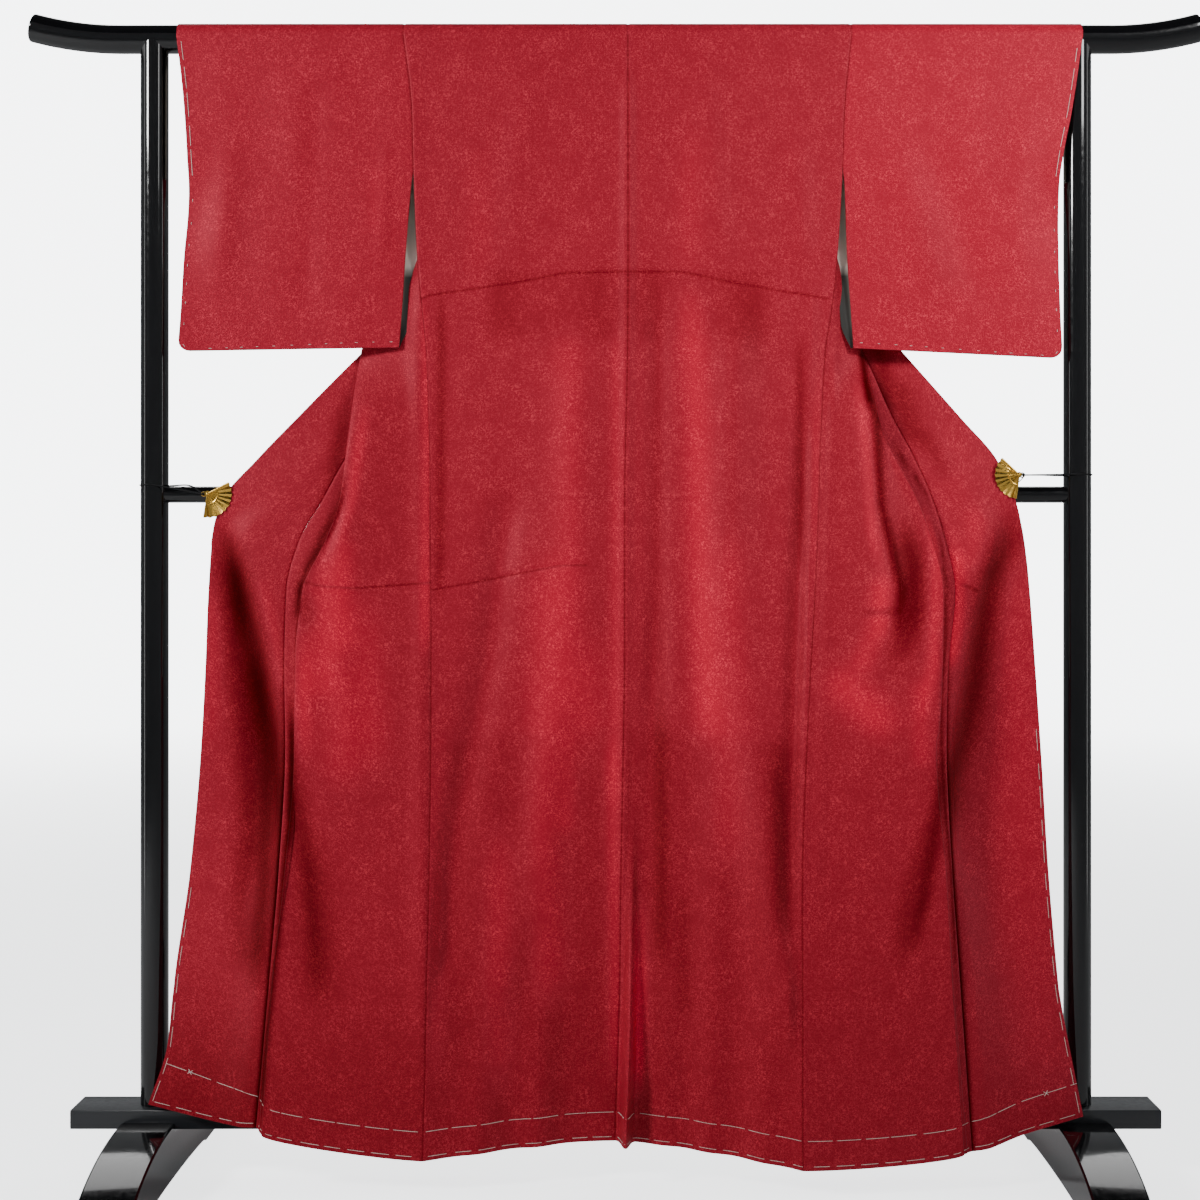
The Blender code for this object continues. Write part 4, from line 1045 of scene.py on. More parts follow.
def brushed_lacquer(name, roughness, tint):
    """Black lacquer, sprayed and rubbed down: deep gloss, a faint wave in the coat, a few duller specks."""
    made, tree, shader, place = finish_of(name, {
        "Base Color": linear(tint), "IOR": 1.5, "Specular IOR Level": 0.35, "Coat Weight": 0.3,
        "Coat Roughness": roughness * 0.5, "Coat IOR": 1.5})
    worn = noise(tree, place, 160.0, 3.0)
    feed(tree, shader, Roughness=ranged(tree, worn, (0.3, 0.8), (roughness, roughness + 0.10)))
    relief(tree, shader, 0.15, 0.0006, noise(tree, place, 26.0, 1.0))
    return made


def gilt_metal(name):
    """Gilt brass stampings: warm polished metal, duller and browner where the plate is thin or handled."""
    made, tree, shader, place = finish_of(name, {"Metallic": 1.0})
    worn = noise(tree, place, 220.0, 4.0)
    feed(tree, shader, Base_Color=mixed(tree, worn, "e8c060", "b98a34"),
         Roughness=ranged(tree, worn, (0.3, 0.8), (0.18, 0.36)))
    return made


def braided_elastic(name):
    """Braided elastic: matt black yarn over rubber, with the slanted ribs of its braid under 1 mm apart."""
    made, tree, shader, place = finish_of(name, {"Roughness": 0.8, "Specular IOR Level": 0.2})
    rib = twist(tree, place, 200.0, 1.0)
    feed(tree, shader, Base_Color=mixed(tree, rib, "0a0a0b", "1c1c1e"))
    relief(tree, shader, 0.5, 0.0002, rib)
    return made


def cotton_thread(name):
    """Loosely twisted white cotton basting thread: matt, with its two plies under 1 mm apart."""
    made, tree, shader, place = finish_of(name, {"Roughness": 0.85, "Sheen Weight": 0.1})
    feed(tree, shader, Base_Color=mixed(tree, twist(tree, place, 230.0), "f0e4dc", "c8b8b0"))
    return made


def painted_backdrop(name):
    """Matt white paper, hardly uneven. To the camera it glows, dimmer near the stand as a painted shade round
    it.
    """
    made, tree, shader, place = finish_of(name, {
        "Roughness": 0.9, "Specular IOR Level": 0.2, "Emission Color": linear("f6f8fa")})
    seen = add(tree, "LightPath", {}, {}).outputs["Is Camera Ray"]
    reach = add(tree, "VectorMath", {"operation": "LENGTH"}, {0: place}).outputs["Value"]
    paler = ranged(tree, reach, (1.5, 10.0), (2.6, 6.4), "SMOOTHSTEP")
    feed(tree, shader, Base_Color=mixed(tree, noise(tree, place, 0.8, 2.0), "f4f5f6", "eceef0"),
         Emission_Strength=ranged(tree, seen, (0.0, 1.0), (0.06, paler)))
    return made


def grid_faces(rows, cols, round_rows=False, round_cols=False):
    """Quads of a grid whose points run row by row. A round grid joins its last row or column to its first."""
    i = np.arange(rows - (not round_rows))[:, None]
    j = np.arange(cols - (not round_cols))[None, :]
    far_i, far_j = (i + 1) % rows, (j + 1) % cols
    quads = np.stack([i * cols + j, i * cols + far_j, far_i * cols + far_j, far_i * cols + j], -1)
    return quads.reshape(-1, 4)


def cloth_grid(rows, cols, side, skip=None, extra=None):
    """The quads of a sheet, wound to face its right side. Cells where skip is true are left open."""
    quads = grid_faces(rows, cols)
    if skip is not None:
        quads = quads[~skip.ravel()]
    if extra is not None:
        quads = np.concatenate([quads, extra])
    return quads[:, ::-1] if side == "left" else quads


def two_faced(quads, count):
    """Faces of a thin closed shell: a sheet's quads, the same turned over on the points behind, and its rim.

    The points behind follow the sheet's own, count places on. The rim joins the two along every open edge.
    """
    edges = np.concatenate([quads[:, [k, (k + 1) % 4]] for k in range(4)])
    rim = edges[~np.isin(edges[:, 0] * count + edges[:, 1], edges[:, 1] * count + edges[:, 0])]
    band = np.stack([rim[:, 1], rim[:, 0], rim[:, 0] + count, rim[:, 1] + count], 1)
    return np.concatenate([quads, quads[:, ::-1] + count, band])


def placed(name, mesh, angle=None):
    """Puts a mesh in the scene as a smooth object. Edges sharper than the angle in degrees stay sharp."""
    mesh.shade_smooth()
    if angle is not None:
        mesh.set_sharp_from_angle(angle=math.radians(angle))
    obj = bpy.data.objects.new(name, mesh)
    bpy.context.scene.collection.objects.link(obj)
    return obj


def shell(name, points, quads, side, wall, looks, linings, tones=None, inner=None):
    """A sheet with two faces half a wall either side of its grid, joined round every open edge.

    The inner face takes the lining of its height. The cloth map holds metres along the rows and the columns.
    The tones are of the outer face, and inner of the inner one.
    """
    plain = np.ones(points.shape[:2])
    used = np.unique(quads)
    slot_of = np.full(plain.size, -1)
    slot_of[used] = np.arange(len(used))
    quads = slot_of[quads]
    flat = points.reshape(-1, 3)[used]
    lift = (outward(points, side) * wall / 2).reshape(-1, 3)[used]
    faces = two_faced(quads, len(used))
    mesh = bpy.data.meshes.new(name)
    mesh.from_pydata(np.concatenate([flat + lift, flat - lift]).tolist(), [], faces.tolist())
    for look in looks:
        mesh.materials.append(look)
    kind = np.zeros(len(faces), np.int32)
    kind[len(quads):2 * len(quads)] = linings(flat[quads].mean(1)[:, 2])
    mesh.polygons.foreach_set("material_index", kind)
    places = np.stack([from_start(points).ravel()[used], from_first_row(points).ravel()[used]], 1)
    corners = np.empty(len(mesh.loops), np.int32)
    mesh.loops.foreach_get("vertex_index", corners)
    layer = mesh.uv_layers.new(name="cloth")
    layer.data.foreach_set("uv", np.concatenate([places, places])[corners].astype(np.float32).ravel())
    shades = [(plain if given is None else given).ravel()[used] for given in (tones, inner)]
    layer = mesh.attributes.new("tone", "FLOAT", "POINT")
    layer.data.foreach_set("value", np.concatenate(shades).astype(np.float32))
    return placed(name, mesh, 55)


def belongs(obj, nodes):
    """Sets a piece on the stand, in place of its solids where it has any."""
    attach(obj, "root")
    if nodes:
        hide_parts(*nodes)


def ring_frames(path, round_path=False):
    """Two directions square to a path at each point, from its tangent and the depth or the height axis."""
    path = np.asarray(path, float)
    if round_path:
        run = np.roll(path, -1, axis=0) - np.roll(path, 1, axis=0)
    else:
        run = np.gradient(path, axis=0)
    run /= np.maximum(np.linalg.norm(run, axis=1), 1e-12)[:, None]
    steady = np.array([0, 1.0, 0]) if np.abs(run[:, 1]).mean() < 0.7 else np.array([0, 0, 1.0])
    one = np.cross(run, steady)
    one /= np.maximum(np.linalg.norm(one, axis=1), 1e-12)[:, None]
    return one, np.cross(one, run)


def rod(path, radius, sides=12, round_path=False):
    """A circle of the given radius carried along a path, with closed ends unless the path is round."""
    path = np.asarray(path, float)
    one, two = ring_frames(path, round_path)
    radius = np.broadcast_to(radius, len(path))[:, None, None]
    turn = np.linspace(0, 2 * np.pi, sides, endpoint=False)[None, :, None]
    points = path[:, None] + radius * (np.cos(turn) * one[:, None] + np.sin(turn) * two[:, None])
    faces = grid_faces(len(path), sides, round_rows=round_path, round_cols=True).tolist()
    if not round_path:
        last = (len(path) - 1) * sides
        faces += [list(range(sides))[::-1], list(range(last, last + sides))]
    return points.reshape(-1, 3), faces


def merged(name, surfaces, look, angle=40):
    """One object from several closed surfaces, each of points and faces, with normals turned outwards."""
    points, faces, at = [], [], 0
    for some, made in surfaces:
        points.append(np.asarray(some).reshape(-1, 3))
        faces += [[k + at for k in face] for face in made]
        at += len(points[-1])
    mesh = bpy.data.meshes.new(name)
    mesh.from_pydata(np.concatenate(points).tolist(), [], faces)
    mesh.materials.append(look)
    shape = bmesh.new()
    shape.from_mesh(mesh)
    bmesh.ops.remove_doubles(shape, verts=shape.verts, dist=1e-7)
    bmesh.ops.recalc_face_normals(shape, faces=shape.faces)
    shape.to_mesh(mesh)
    shape.free()
    return placed(name, mesh, angle)


def body_lining(height):
    """Slot of the lining at each height: the lower lining is red to 0.72 m, and the upper one is ivory."""
    return np.where(height < 0.72, 2, 1)


def folded_body(side):
    """One half of the body with its swell, folds and tuck. A side seam's folds are alike on its two sides."""
    points = body_sheet(side)
    ridge = points.shape[1] - FRONT_CELLS[0] - 1
    back = points[:SHOULDER]
    back = back + (swell(back, side, SWELL) - back) * ease(from_seam(back) / HELD)[..., None]
    back = creased(creased(back, side, BACK_FOLDS, HELD), side, SEAM_FOLDS[side], 0.0, True)
    points[:SHOULDER] = ledge(back, side)
    shown = creased(points[FRONT_AT:, ridge:], side, FRONT_FOLDS[side], HELD)
    points[FRONT_AT:, ridge:] = creased(shown, side, SEAM_FOLDS[side], 0.0, True)
    return seam_groove(points, side, 1.0, 1.0, points[:, -1, 2] < UNDERARM)


def make_body(side, looks):
    """One half of the body, in one length over the shoulder. Its front is left open inside the neck."""
    points = folded_body(side)
    skip = np.zeros((points.shape[0] - 1, points.shape[1] - 1), bool)
    skip[FRONT_AT:, :INSIDE] = True
    # The tones hold the painted shade and highlights of the folds and the light's painted fall-off
    tones = np.ones(points.shape[:2])
    tones[:SHOULDER] = tone(points[:SHOULDER])
    front = points[FRONT_AT:]
    tones[FRONT_AT:] = painted_falloff(front) * 0.96 * painted_shade(front, FRONT_PAINTED_SHADING[side], False, True)
    quads = cloth_grid(*points.shape[:2], side, skip)
    obj = shell(f"visible_body_{side}", points, quads, side, CLOTH, looks, body_lining, tones)
    belongs(obj, [f"body_{side}"])
    return points


def make_okumi(side, looks):
    """The overlap strip. Its folds grow over 14 mm from the seam, so that it stays on the front's edge."""
    levels = np.append(LEVELS[LEVELS < OKUMI_TOP], OKUMI_TOP)
    plain = okumi_sheet(side, levels)
    free = ease(from_start(plain) / 0.014)[..., None]
    points = plain + (creased(plain, side, OKUMI_FOLDS[side]) - plain) * free
    points = seam_groove(points, side, first=1.0)
    # Painted shade and highlights of the folds, the light's painted fall-off, and the shade under the front's
    # fold
    tones = painted_falloff(points) * painted_shade(points, OKUMI_PAINTED_SHADING[side], True) * under_fold(points)
    quads = cloth_grid(*points.shape[:2], side)
    obj = shell(f"visible_okumi_{side}", points, quads, side, CLOTH, looks, body_lining, tones)
    belongs(obj, [f"okumi_{side}"])
    return points


def make_collar(looks):
    """The folded collar in one length, from one end up round the neck and down to the other end."""
    widths = np.concatenate([[0, 0.001, 0.003], np.linspace(0.006, COLLAR_WIDTH - 0.003, 12),
                             [COLLAR_WIDTH - 0.001, COLLAR_WIDTH]])
    left, right = (collar_sheet(side, 90, 24, widths) for side in SIGN)
    points = np.concatenate([left, right[::-1][1:]])
    quads = cloth_grid(*points.shape[:2], "left")
    obj = shell("visible_collar", points, quads, "left", COLLAR_WALL, looks, lambda height: 0)
    belongs(obj, ["collar"])


def reached_in(far, side):
    """A sleeve's far layer, drawn in behind the gap beside it: by FAR_REACH at its edge, as a bell across."""
    up = ease((OPENING_TOP - far[..., 2]) / 0.06) * ease((far[..., 2] - far[..., 2].min()) / 0.05)
    across = np.exp(-(((far[..., 0] - far[:, :1, 0]) / 0.05) ** 2))
    return far - np.array([SIGN[side] * FAR_REACH, 0, 0]) * (up * across)[..., None]


def sleeve_closing(rows, cols):
    """Quads that close a sleeve: its bottom, from first row to last, and its outer edge below the mouth."""
    j = np.arange(cols - 1)
    end = (rows - 1) * cols
    bottom = np.stack([j, end + j, end + j + 1, j + 1], 1)
    i = np.arange(int((SLEEVE_RISE < MOUTH_RISE).sum()))
    near, far = i * cols + cols - 1, (rows - 1 - i) * cols + cols - 1
    return np.concatenate([bottom, np.stack([near, far, far - cols, near + cols], 1)])


def make_sleeve(side, looks):
    """A sleeve, all round in one length. Its inner edge stays open below the join, with painted shade inside.
    """
    points = sleeve_sheet(side, SLEEVE_RISE, SLEEVE_SHARES, ARC_STEPS)
    count = len(SLEEVE_RISE)
    sewn = ease((points[:, 0, 2] - OPENING_TOP) / 0.03)[:, None]
    points[:count] = creased(swell(points[:count], side, SLEEVE_SWELL[side]), side, SLEEVE_FOLDS[side])
    points[count + ARC_STEPS:] = reached_in(points[count + ARC_STEPS:], side)
    points = seam_groove(points, side, first=sewn)
    # The tones hold the sleeve's painted light and the painted shade and highlights of its folds
    tones = SLEEVE_PAINTED_LIGHT[side] * painted_shade(points, SLEEVE_PAINTED_SHADING[side], True)
    far = points[count + ARC_STEPS:]
    # Painted shade: the far layer's lining goes near black below 1.32 m, within 39 mm of its open edge
    inner = np.ones(points.shape[:2])
    inner[count + ARC_STEPS:] = 1 - 0.97 * ease((1.325 - far[:, :, 2]) / 0.02) * ease(
        1.3 - np.abs(far[:, :, 0] - far[:, :1, 0]) / 0.03)
    rows, cols = points.shape[:2]
    quads = cloth_grid(rows, cols, side, extra=sleeve_closing(rows, cols))
    obj = shell(f"visible_sleeve_{side}", points, quads, side, CLOTH, looks, lambda height: 1, tones, inner)
    belongs(obj, [f"sleeve_{side}"])
    return points


def at_distance(points, lift, distance):
    """Where each column of a grid has run the given distance from its first row, with the normal there."""
    run = from_first_row(points)
    i = np.clip((run <= distance).sum(0) - 1, 0, len(points) - 2)
    j = np.arange(points.shape[1])
    share = ((distance - run[i, j]) / np.maximum(run[i + 1, j] - run[i, j], 1e-9))[:, None]
    return [grid[i, j] * (1 - share) + grid[i + 1, j] * share for grid in (points, lift)]


def dashes(line, normal, dash, gap):
    """Basting stitches along a line: each is a thin rod that lies on the cloth and dips in at both ends."""
    run = np.concatenate([[0], np.cumsum(np.linalg.norm(np.diff(line, axis=0), axis=1))])
    first = np.arange(gap / 2, run[-1] - gap, dash + gap)
    first = first + 0.12 * gap * np.sin(7.3 * np.arange(len(first)))
    length = dash * (1 + 0.16 * np.sin(2.9 * np.arange(len(first)) + 1))
    share = np.array([0, 0.06, 0.3, 0.7, 0.94, 1.0])
    at = np.minimum(first[:, None] + length[:, None] * share[None, :], run[-1])
    rise = np.array([-1.2, 0.5, 1.0, 1.0, 0.5, -1.2])[None, :, None] * THREAD_R
    where, out = (np.stack([np.interp(at, run, grid[:, k]) for k in range(3)], 2) for grid in (line, normal))
    centre = where + out * (CLOTH / 2 + rise)
    along = np.gradient(centre, axis=1)
    along /= np.maximum(np.linalg.norm(along, axis=2), 1e-12)[:, :, None]
    side = np.cross(along, out)
    turn = np.linspace(0, 2 * np.pi, 5, endpoint=False)[None, None, :, None]
    ring = np.cos(turn) * side[:, :, None] + np.sin(turn) * out[:, :, None]
    points = centre[:, :, None] + THREAD_R * ring
    last = (len(share) - 1) * 5
    faces = grid_faces(len(share), 5, round_cols=True).tolist()
    faces += [[4, 3, 2, 1, 0], list(range(last, last + 5))]
    return [(stitch, faces) for stitch in points]


def edge_line(points, side, distance):
    """The line at a distance from a sheet's last column, from first row to last, with the normals there."""
    turned, lift = (grid.swapaxes(0, 1)[::-1] for grid in (points, outward(points, side)))
    return at_distance(turned, lift, distance)


def cross_stitch(line, out):
    """The end of a basting thread: two short stitches crossed over the line's first point, 9 mm long."""
    along = line[-1] - line[0]
    along /= np.linalg.norm(along)
    across = np.cross(out, along)
    run = np.array([[-0.0032], [0], [0.0032]])
    rise = out * np.array([[0.0006], [0.0012], [0.0006]])
    return [rod(line[0] + way * run + rise, 0.0004, 5) for way in (along + across, along - across)]


def hem_basting(sheet, lift, climb):
    """Two lines of long stitches above a hem. The upper one climbs towards the sheet's last column."""
    low = at_distance(sheet, lift, 0.006)
    high = at_distance(sheet, lift, 0.041 + climb * np.linspace(0, 1, sheet.shape[1]))
    return dashes(*low, 0.025, 0.009) + dashes(*high, 0.035, 0.005), high


def make_basting(bodies, okumis, sleeves, look):
    """White basting: two lines above the hem, one up each free edge, and one round each sleeve."""
    made = []
    for side in SIGN:
        climb, free_end = BASTING_ENDS[side]
        strip = okumis[side]
        back = bodies[side][:SHOULDER]
        front = bodies[side][FRONT_AT:, INSIDE:][::-1]
        for sheet, way, rise in ((back, 1, 0), (front, -1, 0), (strip, 1, climb)):
            stitches, high = hem_basting(sheet, outward(sheet, side) * way, rise)
            made += stitches
        made += cross_stitch(high[0][-6:], high[1][-6])
        line, normal = edge_line(strip, side, 0.005)
        low = line[:, 2] < free_end
        made += dashes(line[low], normal[low], 0.028, 0.012)
        sleeve = sleeves[side][:len(SLEEVE_RISE)]
        line, normal = edge_line(sleeve, side, 0.006)
        top = line[:, 2] > 1.44
        made += dashes(line[top], normal[top], 0.034, 0.008)
        made += dashes(line[~top], normal[~top], 0.004, 0.026)
        made += dashes(*at_distance(sleeve, outward(sleeve, side), 0.008), 0.004, 0.020)
    belongs(merged("basting_threads", made, look), [])


def make_top_rail(look):
    """A circle carried along a line, straight to RAIL_STRAIGHT and then up on an arc, with rounded ends."""
    reach = np.linspace(RAIL_STRAIGHT, RAIL_HALF, 14)
    rise = RAIL_BEND - np.sqrt(RAIL_BEND**2 - (reach - RAIL_STRAIGHT) ** 2)
    half = np.stack([reach, 0 * reach, RAIL_Z + rise], 1)
    tip = half[-1] - half[-2]
    tip /= np.linalg.norm(tip)
    half = np.concatenate([half[:-1], half[-1] - tip * np.array([[0.003], [0.0012], [0.0003], [0.0]])])
    path = np.concatenate([half[::-1] * [-1, 1, 1], half])
    edge = np.array([0.0015, 0.0006, 0.0001])
    radius = np.full(len(path), RAIL_R)
    radius[:3] -= edge
    radius[-3:] -= edge[::-1]
    belongs(merged("lacquered_top_rail", [rod(path, radius, 64)], look), ["top_rail"])


def make_posts(look):
    """Round posts from the plank to the top rail: a circle carried up a straight line."""
    for side, sign in SIGN.items():
        path = np.array([(sign * POST_X, 0, z) for z in np.linspace(PLANK_TOP + 0.0002, RAIL_Z - 0.004, 12)])
        post = merged(f"lacquered_post_{side}", [rod(path, POST_R, 64)], look)
        belongs(post, [f"post_{side}"])


def make_mid_rail(look):
    """The thin rail between the posts: a circle carried along a straight line that ends inside them."""
    path = np.array([(x, 0, MID_RAIL_Z) for x in np.linspace(-POST_X + 0.012, POST_X - 0.012, 8)])
    belongs(merged("lacquered_mid_rail", [rod(path, MID_RAIL_R, 48)], look), ["mid_rail"])


def eased_block(size, middle, edge):
    """A block with rounded edges: a grid of its section, a rounded rectangle, carried along and drawn in."""
    lx, ly, lz = np.array(size) / 2
    turn = np.linspace(0, np.pi / 2, 5)
    corner = np.stack([np.cos(turn), np.sin(turn)], 1) * edge
    signs = np.array([(1, 1), (-1, 1), (-1, -1), (1, -1)])
    inset = signs * [ly - edge, lz - edge]
    spin = [np.array([[c, s], [-s, c]]) for c, s in ((1, 0), (0, 1), (-1, 0), (0, -1))]
    ring = np.concatenate([inset[k] + corner @ spin[k] for k in range(4)])
    x = np.array([-lx, -lx + edge * 0.3, -lx + edge, lx - edge, lx - edge * 0.3, lx])
    shrink = np.array([edge, edge * 0.3, 0, 0, edge * 0.3, edge])
    section = ring[None] - np.sign(ring)[None] * shrink[:, None, None]
    along = np.broadcast_to(x[:, None, None], (len(x), len(ring), 1))
    points = np.concatenate([along, section], 2) + np.array(middle)
    count = len(ring)
    faces = grid_faces(len(x), count, round_cols=True).tolist()
    last = (len(x) - 1) * count
    return points.reshape(-1, 3), faces + [list(range(count))[::-1], list(range(last, last + count))]


def make_plank(look):
    """The flat plank that joins the feet."""
    size = (PLANK_LENGTH, PLANK_DEPTH, PLANK_HEIGHT)
    block = eased_block(size, (0, 0, PLANK_TOP - PLANK_HEIGHT / 2), 0.0016)
    belongs(merged("lacquered_plank", [block], look), ["base_plank"])


def foot_ring():
    """The foot's outline as depth and height, with the notch for the plank cut square into its crown.

    The crown falls as a power curve, the nose is a quarter of an ellipse, and the sole is hollow.
    """
    cheek = PLANK_DEPTH / 2 + NOTCH_GAP
    notch = PLANK_TOP - PLANK_HEIGHT - NOTCH_GAP
    y = np.linspace(cheek, FOOT_HALF - 0.002, 34)
    crown = FOOT_CROWN - FOOT_FALL * (y / FOOT_FALL_AT) ** 2.65
    half = [(0, notch), (cheek, notch), *zip(y, crown), (FOOT_HALF, crown[-1] - 0.004)]
    nose = np.linspace(0, np.pi / 2, 8)
    half += [(FOOT_HALF - FOOT_NOSE * 0.4 * (1 - math.cos(a)), FOOT_NOSE * (1 - math.sin(a))) for a in nose]
    sole = np.linspace(RELIEF_HALF, 0, 20)
    half += [(a, RELIEF_HEIGHT * math.sin(math.acos(a / RELIEF_HALF)) ** 0.8) for a in sole]
    return half + [(-y, z) for y, z in half[::-1]][1:-1]


def make_feet(look):
    """Each foot is its outline carried across its width, with its long edges rounded."""
    outline = np.array(foot_ring())
    count = len(outline)
    faces = grid_faces(2, count, round_cols=True).tolist()
    faces += [list(range(count)), list(range(count, 2 * count))[::-1]]
    for side, sign in SIGN.items():
        cheeks = [np.column_stack([np.full(count, sign * POST_X + half), outline])
                  for half in (-FOOT_WIDTH / 2, FOOT_WIDTH / 2)]
        foot = merged(f"lacquered_foot_{side}", [(np.concatenate(cheeks), faces)], look)
        bevel = foot.modifiers.new("edge", "BEVEL")
        bevel.width = 0.004
        bevel.segments = 4
        bevel.limit_method = "ANGLE"
        bevel.angle_limit = math.radians(50)
        belongs(foot, [f"foot_{side}"])


def thin_plate(face, wall):
    """A closed plate from the grid of its shown face, with its far face one wall behind."""
    rows, cols = face.shape[:2]
    points = np.concatenate([face.reshape(-1, 3), face.reshape(-1, 3) + [0, wall, 0]])
    return points, two_faced(grid_faces(rows, cols), rows * cols).tolist()


def fan_leaf(first, last, ribs):
    """A pleated leaf: radius by angle, with a sharp fold at each rib, scalloped at the rim."""
    steps = 8 * ribs
    angle = np.radians(np.linspace(first, last, steps + 1))[None, :]
    share = np.linspace(0, ribs, steps + 1)
    fold = np.abs((share % 1) - 0.5) * 4 - 1
    radius = np.concatenate([[LEAF_START], np.linspace(0.0150, CLIP_RADIUS, 12)])[:, None]
    grown = (radius - LEAF_START) / (CLIP_RADIUS - LEAF_START)
    radius = radius * (1 - 0.045 * (1 - fold[None, :]) / 2 * grown**3)
    depth = -0.0010 * fold[None, :] * np.sqrt(np.maximum(grown, 0)) + 0.0016 * grown**2
    return thin_plate(np.stack([radius * np.cos(angle), depth, radius * np.sin(angle)], 2), 0.0008)


def fan_sticks(first, last):
    """The plain sticks inside the leaf: radius by angle, with a shallow wave for each stick."""
    angle = np.radians(np.linspace(first, last, 40))[None, :]
    radius = np.linspace(0.001, STICK_END, 6)[:, None]
    depth = -0.0006 + 0.0004 * np.cos(angle * 46) * (radius / STICK_END)
    return thin_plate(np.stack([radius * np.cos(angle), depth, radius * np.sin(angle)], 2), 0.0014)


def circle(radius, turn, depth=0.0):
    """Points of a circle, or of a part of it, that faces the viewer."""
    return np.stack([radius * np.cos(turn), 0 * turn + depth, radius * np.sin(turn)], 1)


def dome(centre, radius, height, sides=20):
    """A low round head: a quarter of an ellipse turned about the depth axis, closed behind."""
    rise = np.linspace(0, np.pi / 2, 6)
    ring = np.linspace(0, 2 * np.pi, sides, endpoint=False)[None, :]
    r = (radius * np.cos(rise))[:, None]
    r[-1] = radius * 0.04
    y = (-height * np.sin(rise))[:, None] + 0 * ring
    points = np.stack([r * np.cos(ring), y, r * np.sin(ring)], 2) + np.array(centre)
    last = 5 * sides
    return points.reshape(-1, 3), grid_faces(6, sides, round_cols=True).tolist() + [
        list(range(sides))[::-1], list(range(last, last + sides))]


def make_clip(side, look):
    """A folding fan: pleated leaf, sticks inside a raised arc, guards, pivot, ring, and the jaw behind."""
    clip = CLIPS[side]
    pivot = np.array(clip["pivot"])
    front = pivot - [0, 0.0012, 0]
    first, last = clip["first"], clip["last"]
    leaf, leaf_faces = fan_leaf(first, last, 9)
    sticks, stick_faces = fan_sticks(first, last)
    arc = circle(0.0148, np.radians(np.linspace(first, last, 30)), -0.0002)
    parts = [(leaf + front, leaf_faces), rod(arc + front, 0.0010, 8), (sticks + front, stick_faces)]
    for angle in (math.radians(first), math.radians(last)):
        far = np.linspace(0, 1, 8)[:, None] * np.array([math.cos(angle), 0, math.sin(angle)]) * 0.0345
        parts.append(rod(front + far + [0, -0.0002, 0], np.linspace(0.0011, 0.0015, 8), 8))
    parts.append(dome(front + [0, -0.0004, 0], 0.0026, 0.0018))
    back = clip["jaw_y"]
    boss = np.array([pivot + [0, y, 0] for y in (-0.0010, back + 0.0006 - pivot[1])])
    parts.append(rod(boss, 0.0042, 20))
    jaw = (pivot[0] - SIGN[side] * 0.017, back, pivot[2] - 0.003)
    parts.append(eased_block((0.036, 0.0012, 0.011), jaw, 0.0004))
    ring = circle(RING_R, np.linspace(0, 2 * np.pi, 28, endpoint=False)) + np.array(ring_centre(side))
    parts.append(rod(ring, RING_WIRE, 10, round_path=True))
    belongs(merged(f"gilt_fan_clip_{side}", parts, look, angle=30), [f"clip_{side}"])


def rounded_route(points, steps):
    """A closed smooth line through the given points: cubics with slopes from the two points beside each."""
    points = np.array(points)
    slope = (np.roll(points, -1, axis=0) - np.roll(points, 1, axis=0)) / 2
    t = np.linspace(0, 1, steps, endpoint=False)[None, :, None]
    run = hermite(points[:, None], np.roll(points, -1, axis=0)[:, None], slope[:, None],
                  np.roll(slope, -1, axis=0)[:, None], t)
    return run.reshape(-1, 3)


def make_cord(side, look):
    """The elastic loop. The right one has a knot, a small round bead, with a short tail."""
    parts = [rod(rounded_route(cord_route(side), 4), CORD_R * 1.5, 8, round_path=True)]
    if side == "right":
        spin = np.linspace(0, np.pi, 9)
        bead = np.stack([KNOT_R * -np.cos(spin), 0 * spin, 0 * spin], 1) + np.array(KNOT)
        parts.append(rod(bead, KNOT_R * np.maximum(np.sin(spin), 0.05), 12))
        parts.append(rod(KNOT_TAIL, CORD_R, 8))
    belongs(merged(f"elastic_cord_{side}", parts, look), [f"cord_{side}"])


def make_stage(look):
    """A round sweep of paper: floor, quarter circle of radius 1 m, then wall, as a profile turned about z."""
    turn = np.linspace(-np.pi / 2, 0, 16)
    radius = np.concatenate([[0.4, 2, 5, 8], 8 + np.cos(turn)[1:], [9.0, 9.0]])
    height = np.concatenate([[0, 0, 0, 0], 1 + np.sin(turn)[1:], [4.0, 8.0]])
    count = 96
    spin = np.linspace(0, 2 * np.pi, count + 1)[:-1]
    points = np.stack([radius[:, None] * np.cos(spin), radius[:, None] * np.sin(spin),
                       np.broadcast_to(height[:, None], (len(radius), count))], 2)
    faces = grid_faces(len(radius), count, round_cols=True)[:, ::-1].tolist() + [list(range(count))]
    mesh = bpy.data.meshes.new("paper_sweep")
    mesh.from_pydata(points.reshape(-1, 3).tolist(), [], faces)
    mesh.materials.append(look)
    placed("paper_sweep", mesh)


def aimed(name, place, at, power, size, size_y, **settings):
    """An area light at a place, turned towards a point."""
    data = bpy.data.lights.new(name, "AREA")
    data.energy = power
    data.shape = "RECTANGLE"
    data.size = size
    data.size_y = size_y
    for key, value in settings.items():
        setattr(data, key, value)
    obj = bpy.data.objects.new(name, data)
    obj.location = place
    obj.rotation_euler = (Vector(at) - Vector(place)).to_track_quat("-Z", "Y").to_euler()
    bpy.context.scene.collection.objects.link(obj)


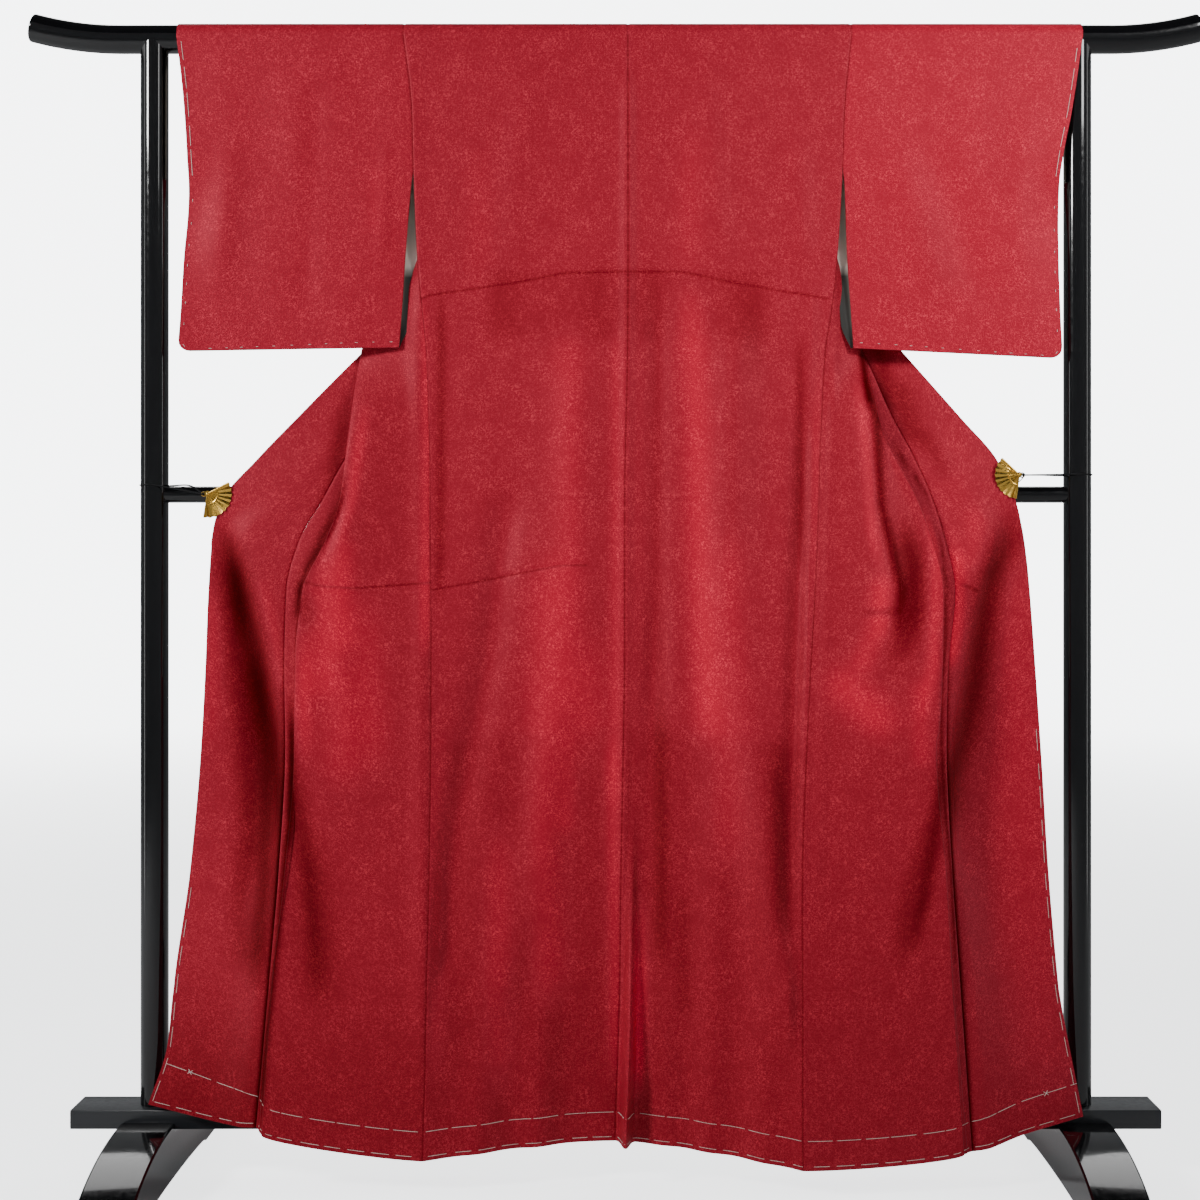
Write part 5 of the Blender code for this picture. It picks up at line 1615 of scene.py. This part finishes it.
def make_lights():
    """A hard key from the upper left, a weak fill on one sleeve, strips for the lacquer, lights behind."""
    aimed("key", (-2.8, -2.2, 2.5), (0, 0, 1.1), 104, 0.6, 0.6)
    aimed("fill", (1.9, -2.0, 2.5), (0.66, 0, 1.42), 4.5, 0.8, 0.8, spread=0.8)
    for side, sign in SIGN.items():
        aimed(f"strip_{side}", (sign * 3.0, -0.6, 1.2), (sign * 0.6, 0, 1.0), 8, 0.25, 2.4)
    for side, sign in SIGN.items():
        aimed(f"behind_{side}", (sign * 2.0, 2.2, 3.3), (0, 0, 1.0), 30, 1.5, 1.5)
    world = bpy.data.worlds.new("studio")
    world.use_nodes = True
    ground = world.node_tree.nodes["Background"].inputs
    ground["Color"].default_value = linear("eef1f4")
    ground["Strength"].default_value = 0.05
    bpy.context.scene.world = world


def make_camera():
    """The photograph's eye: level, a little right of the stand's middle, EYE_DISTANCE before it."""
    data = bpy.data.cameras.new("eye")
    data.sensor_width = SENSOR
    data.lens = SENSOR * EYE_DISTANCE / (PIXEL * PICTURE)
    data.shift_x = SHIFT_X / PICTURE
    data.shift_y = SHIFT_Z / PICTURE
    obj = bpy.data.objects.new("eye", data)
    obj.location = (EYE_X, -EYE_DISTANCE, EYE_Z)
    obj.rotation_euler = (math.pi / 2, 0, 0)
    bpy.context.scene.collection.objects.link(obj)
    bpy.context.scene.camera = obj


make_camera()
CLOTHS = [woven_silk("dyed_silk_crepe", "96182a", "da3e4e", 0.5), plain_silk("ivory_silk_lining", "efe6d8"),
          plain_silk("red_silk_lining", "a8182a")]
LACQUER = brushed_lacquer("gloss_black_lacquer", 0.07, "08080a")
SATIN = brushed_lacquer("satin_black_lacquer", 0.28, "1c1e21")
GILT = gilt_metal("gilt_brass")
for side in SIGN:
    make_cord(side, braided_elastic(f"black_elastic_{side}"))
bodies, okumis, sleeves = {}, {}, {}
for side in SIGN:
    bodies[side] = make_body(side, CLOTHS)
    okumis[side] = make_okumi(side, CLOTHS)
    sleeves[side] = make_sleeve(side, CLOTHS)
    make_clip(side, GILT)
make_collar(CLOTHS)
make_basting(bodies, okumis, sleeves, cotton_thread("white_basting_thread"))
make_top_rail(LACQUER)
make_posts(LACQUER)
make_mid_rail(LACQUER)
make_plank(SATIN)
make_feet(LACQUER)
make_stage(painted_backdrop("white_paper"))
make_lights()
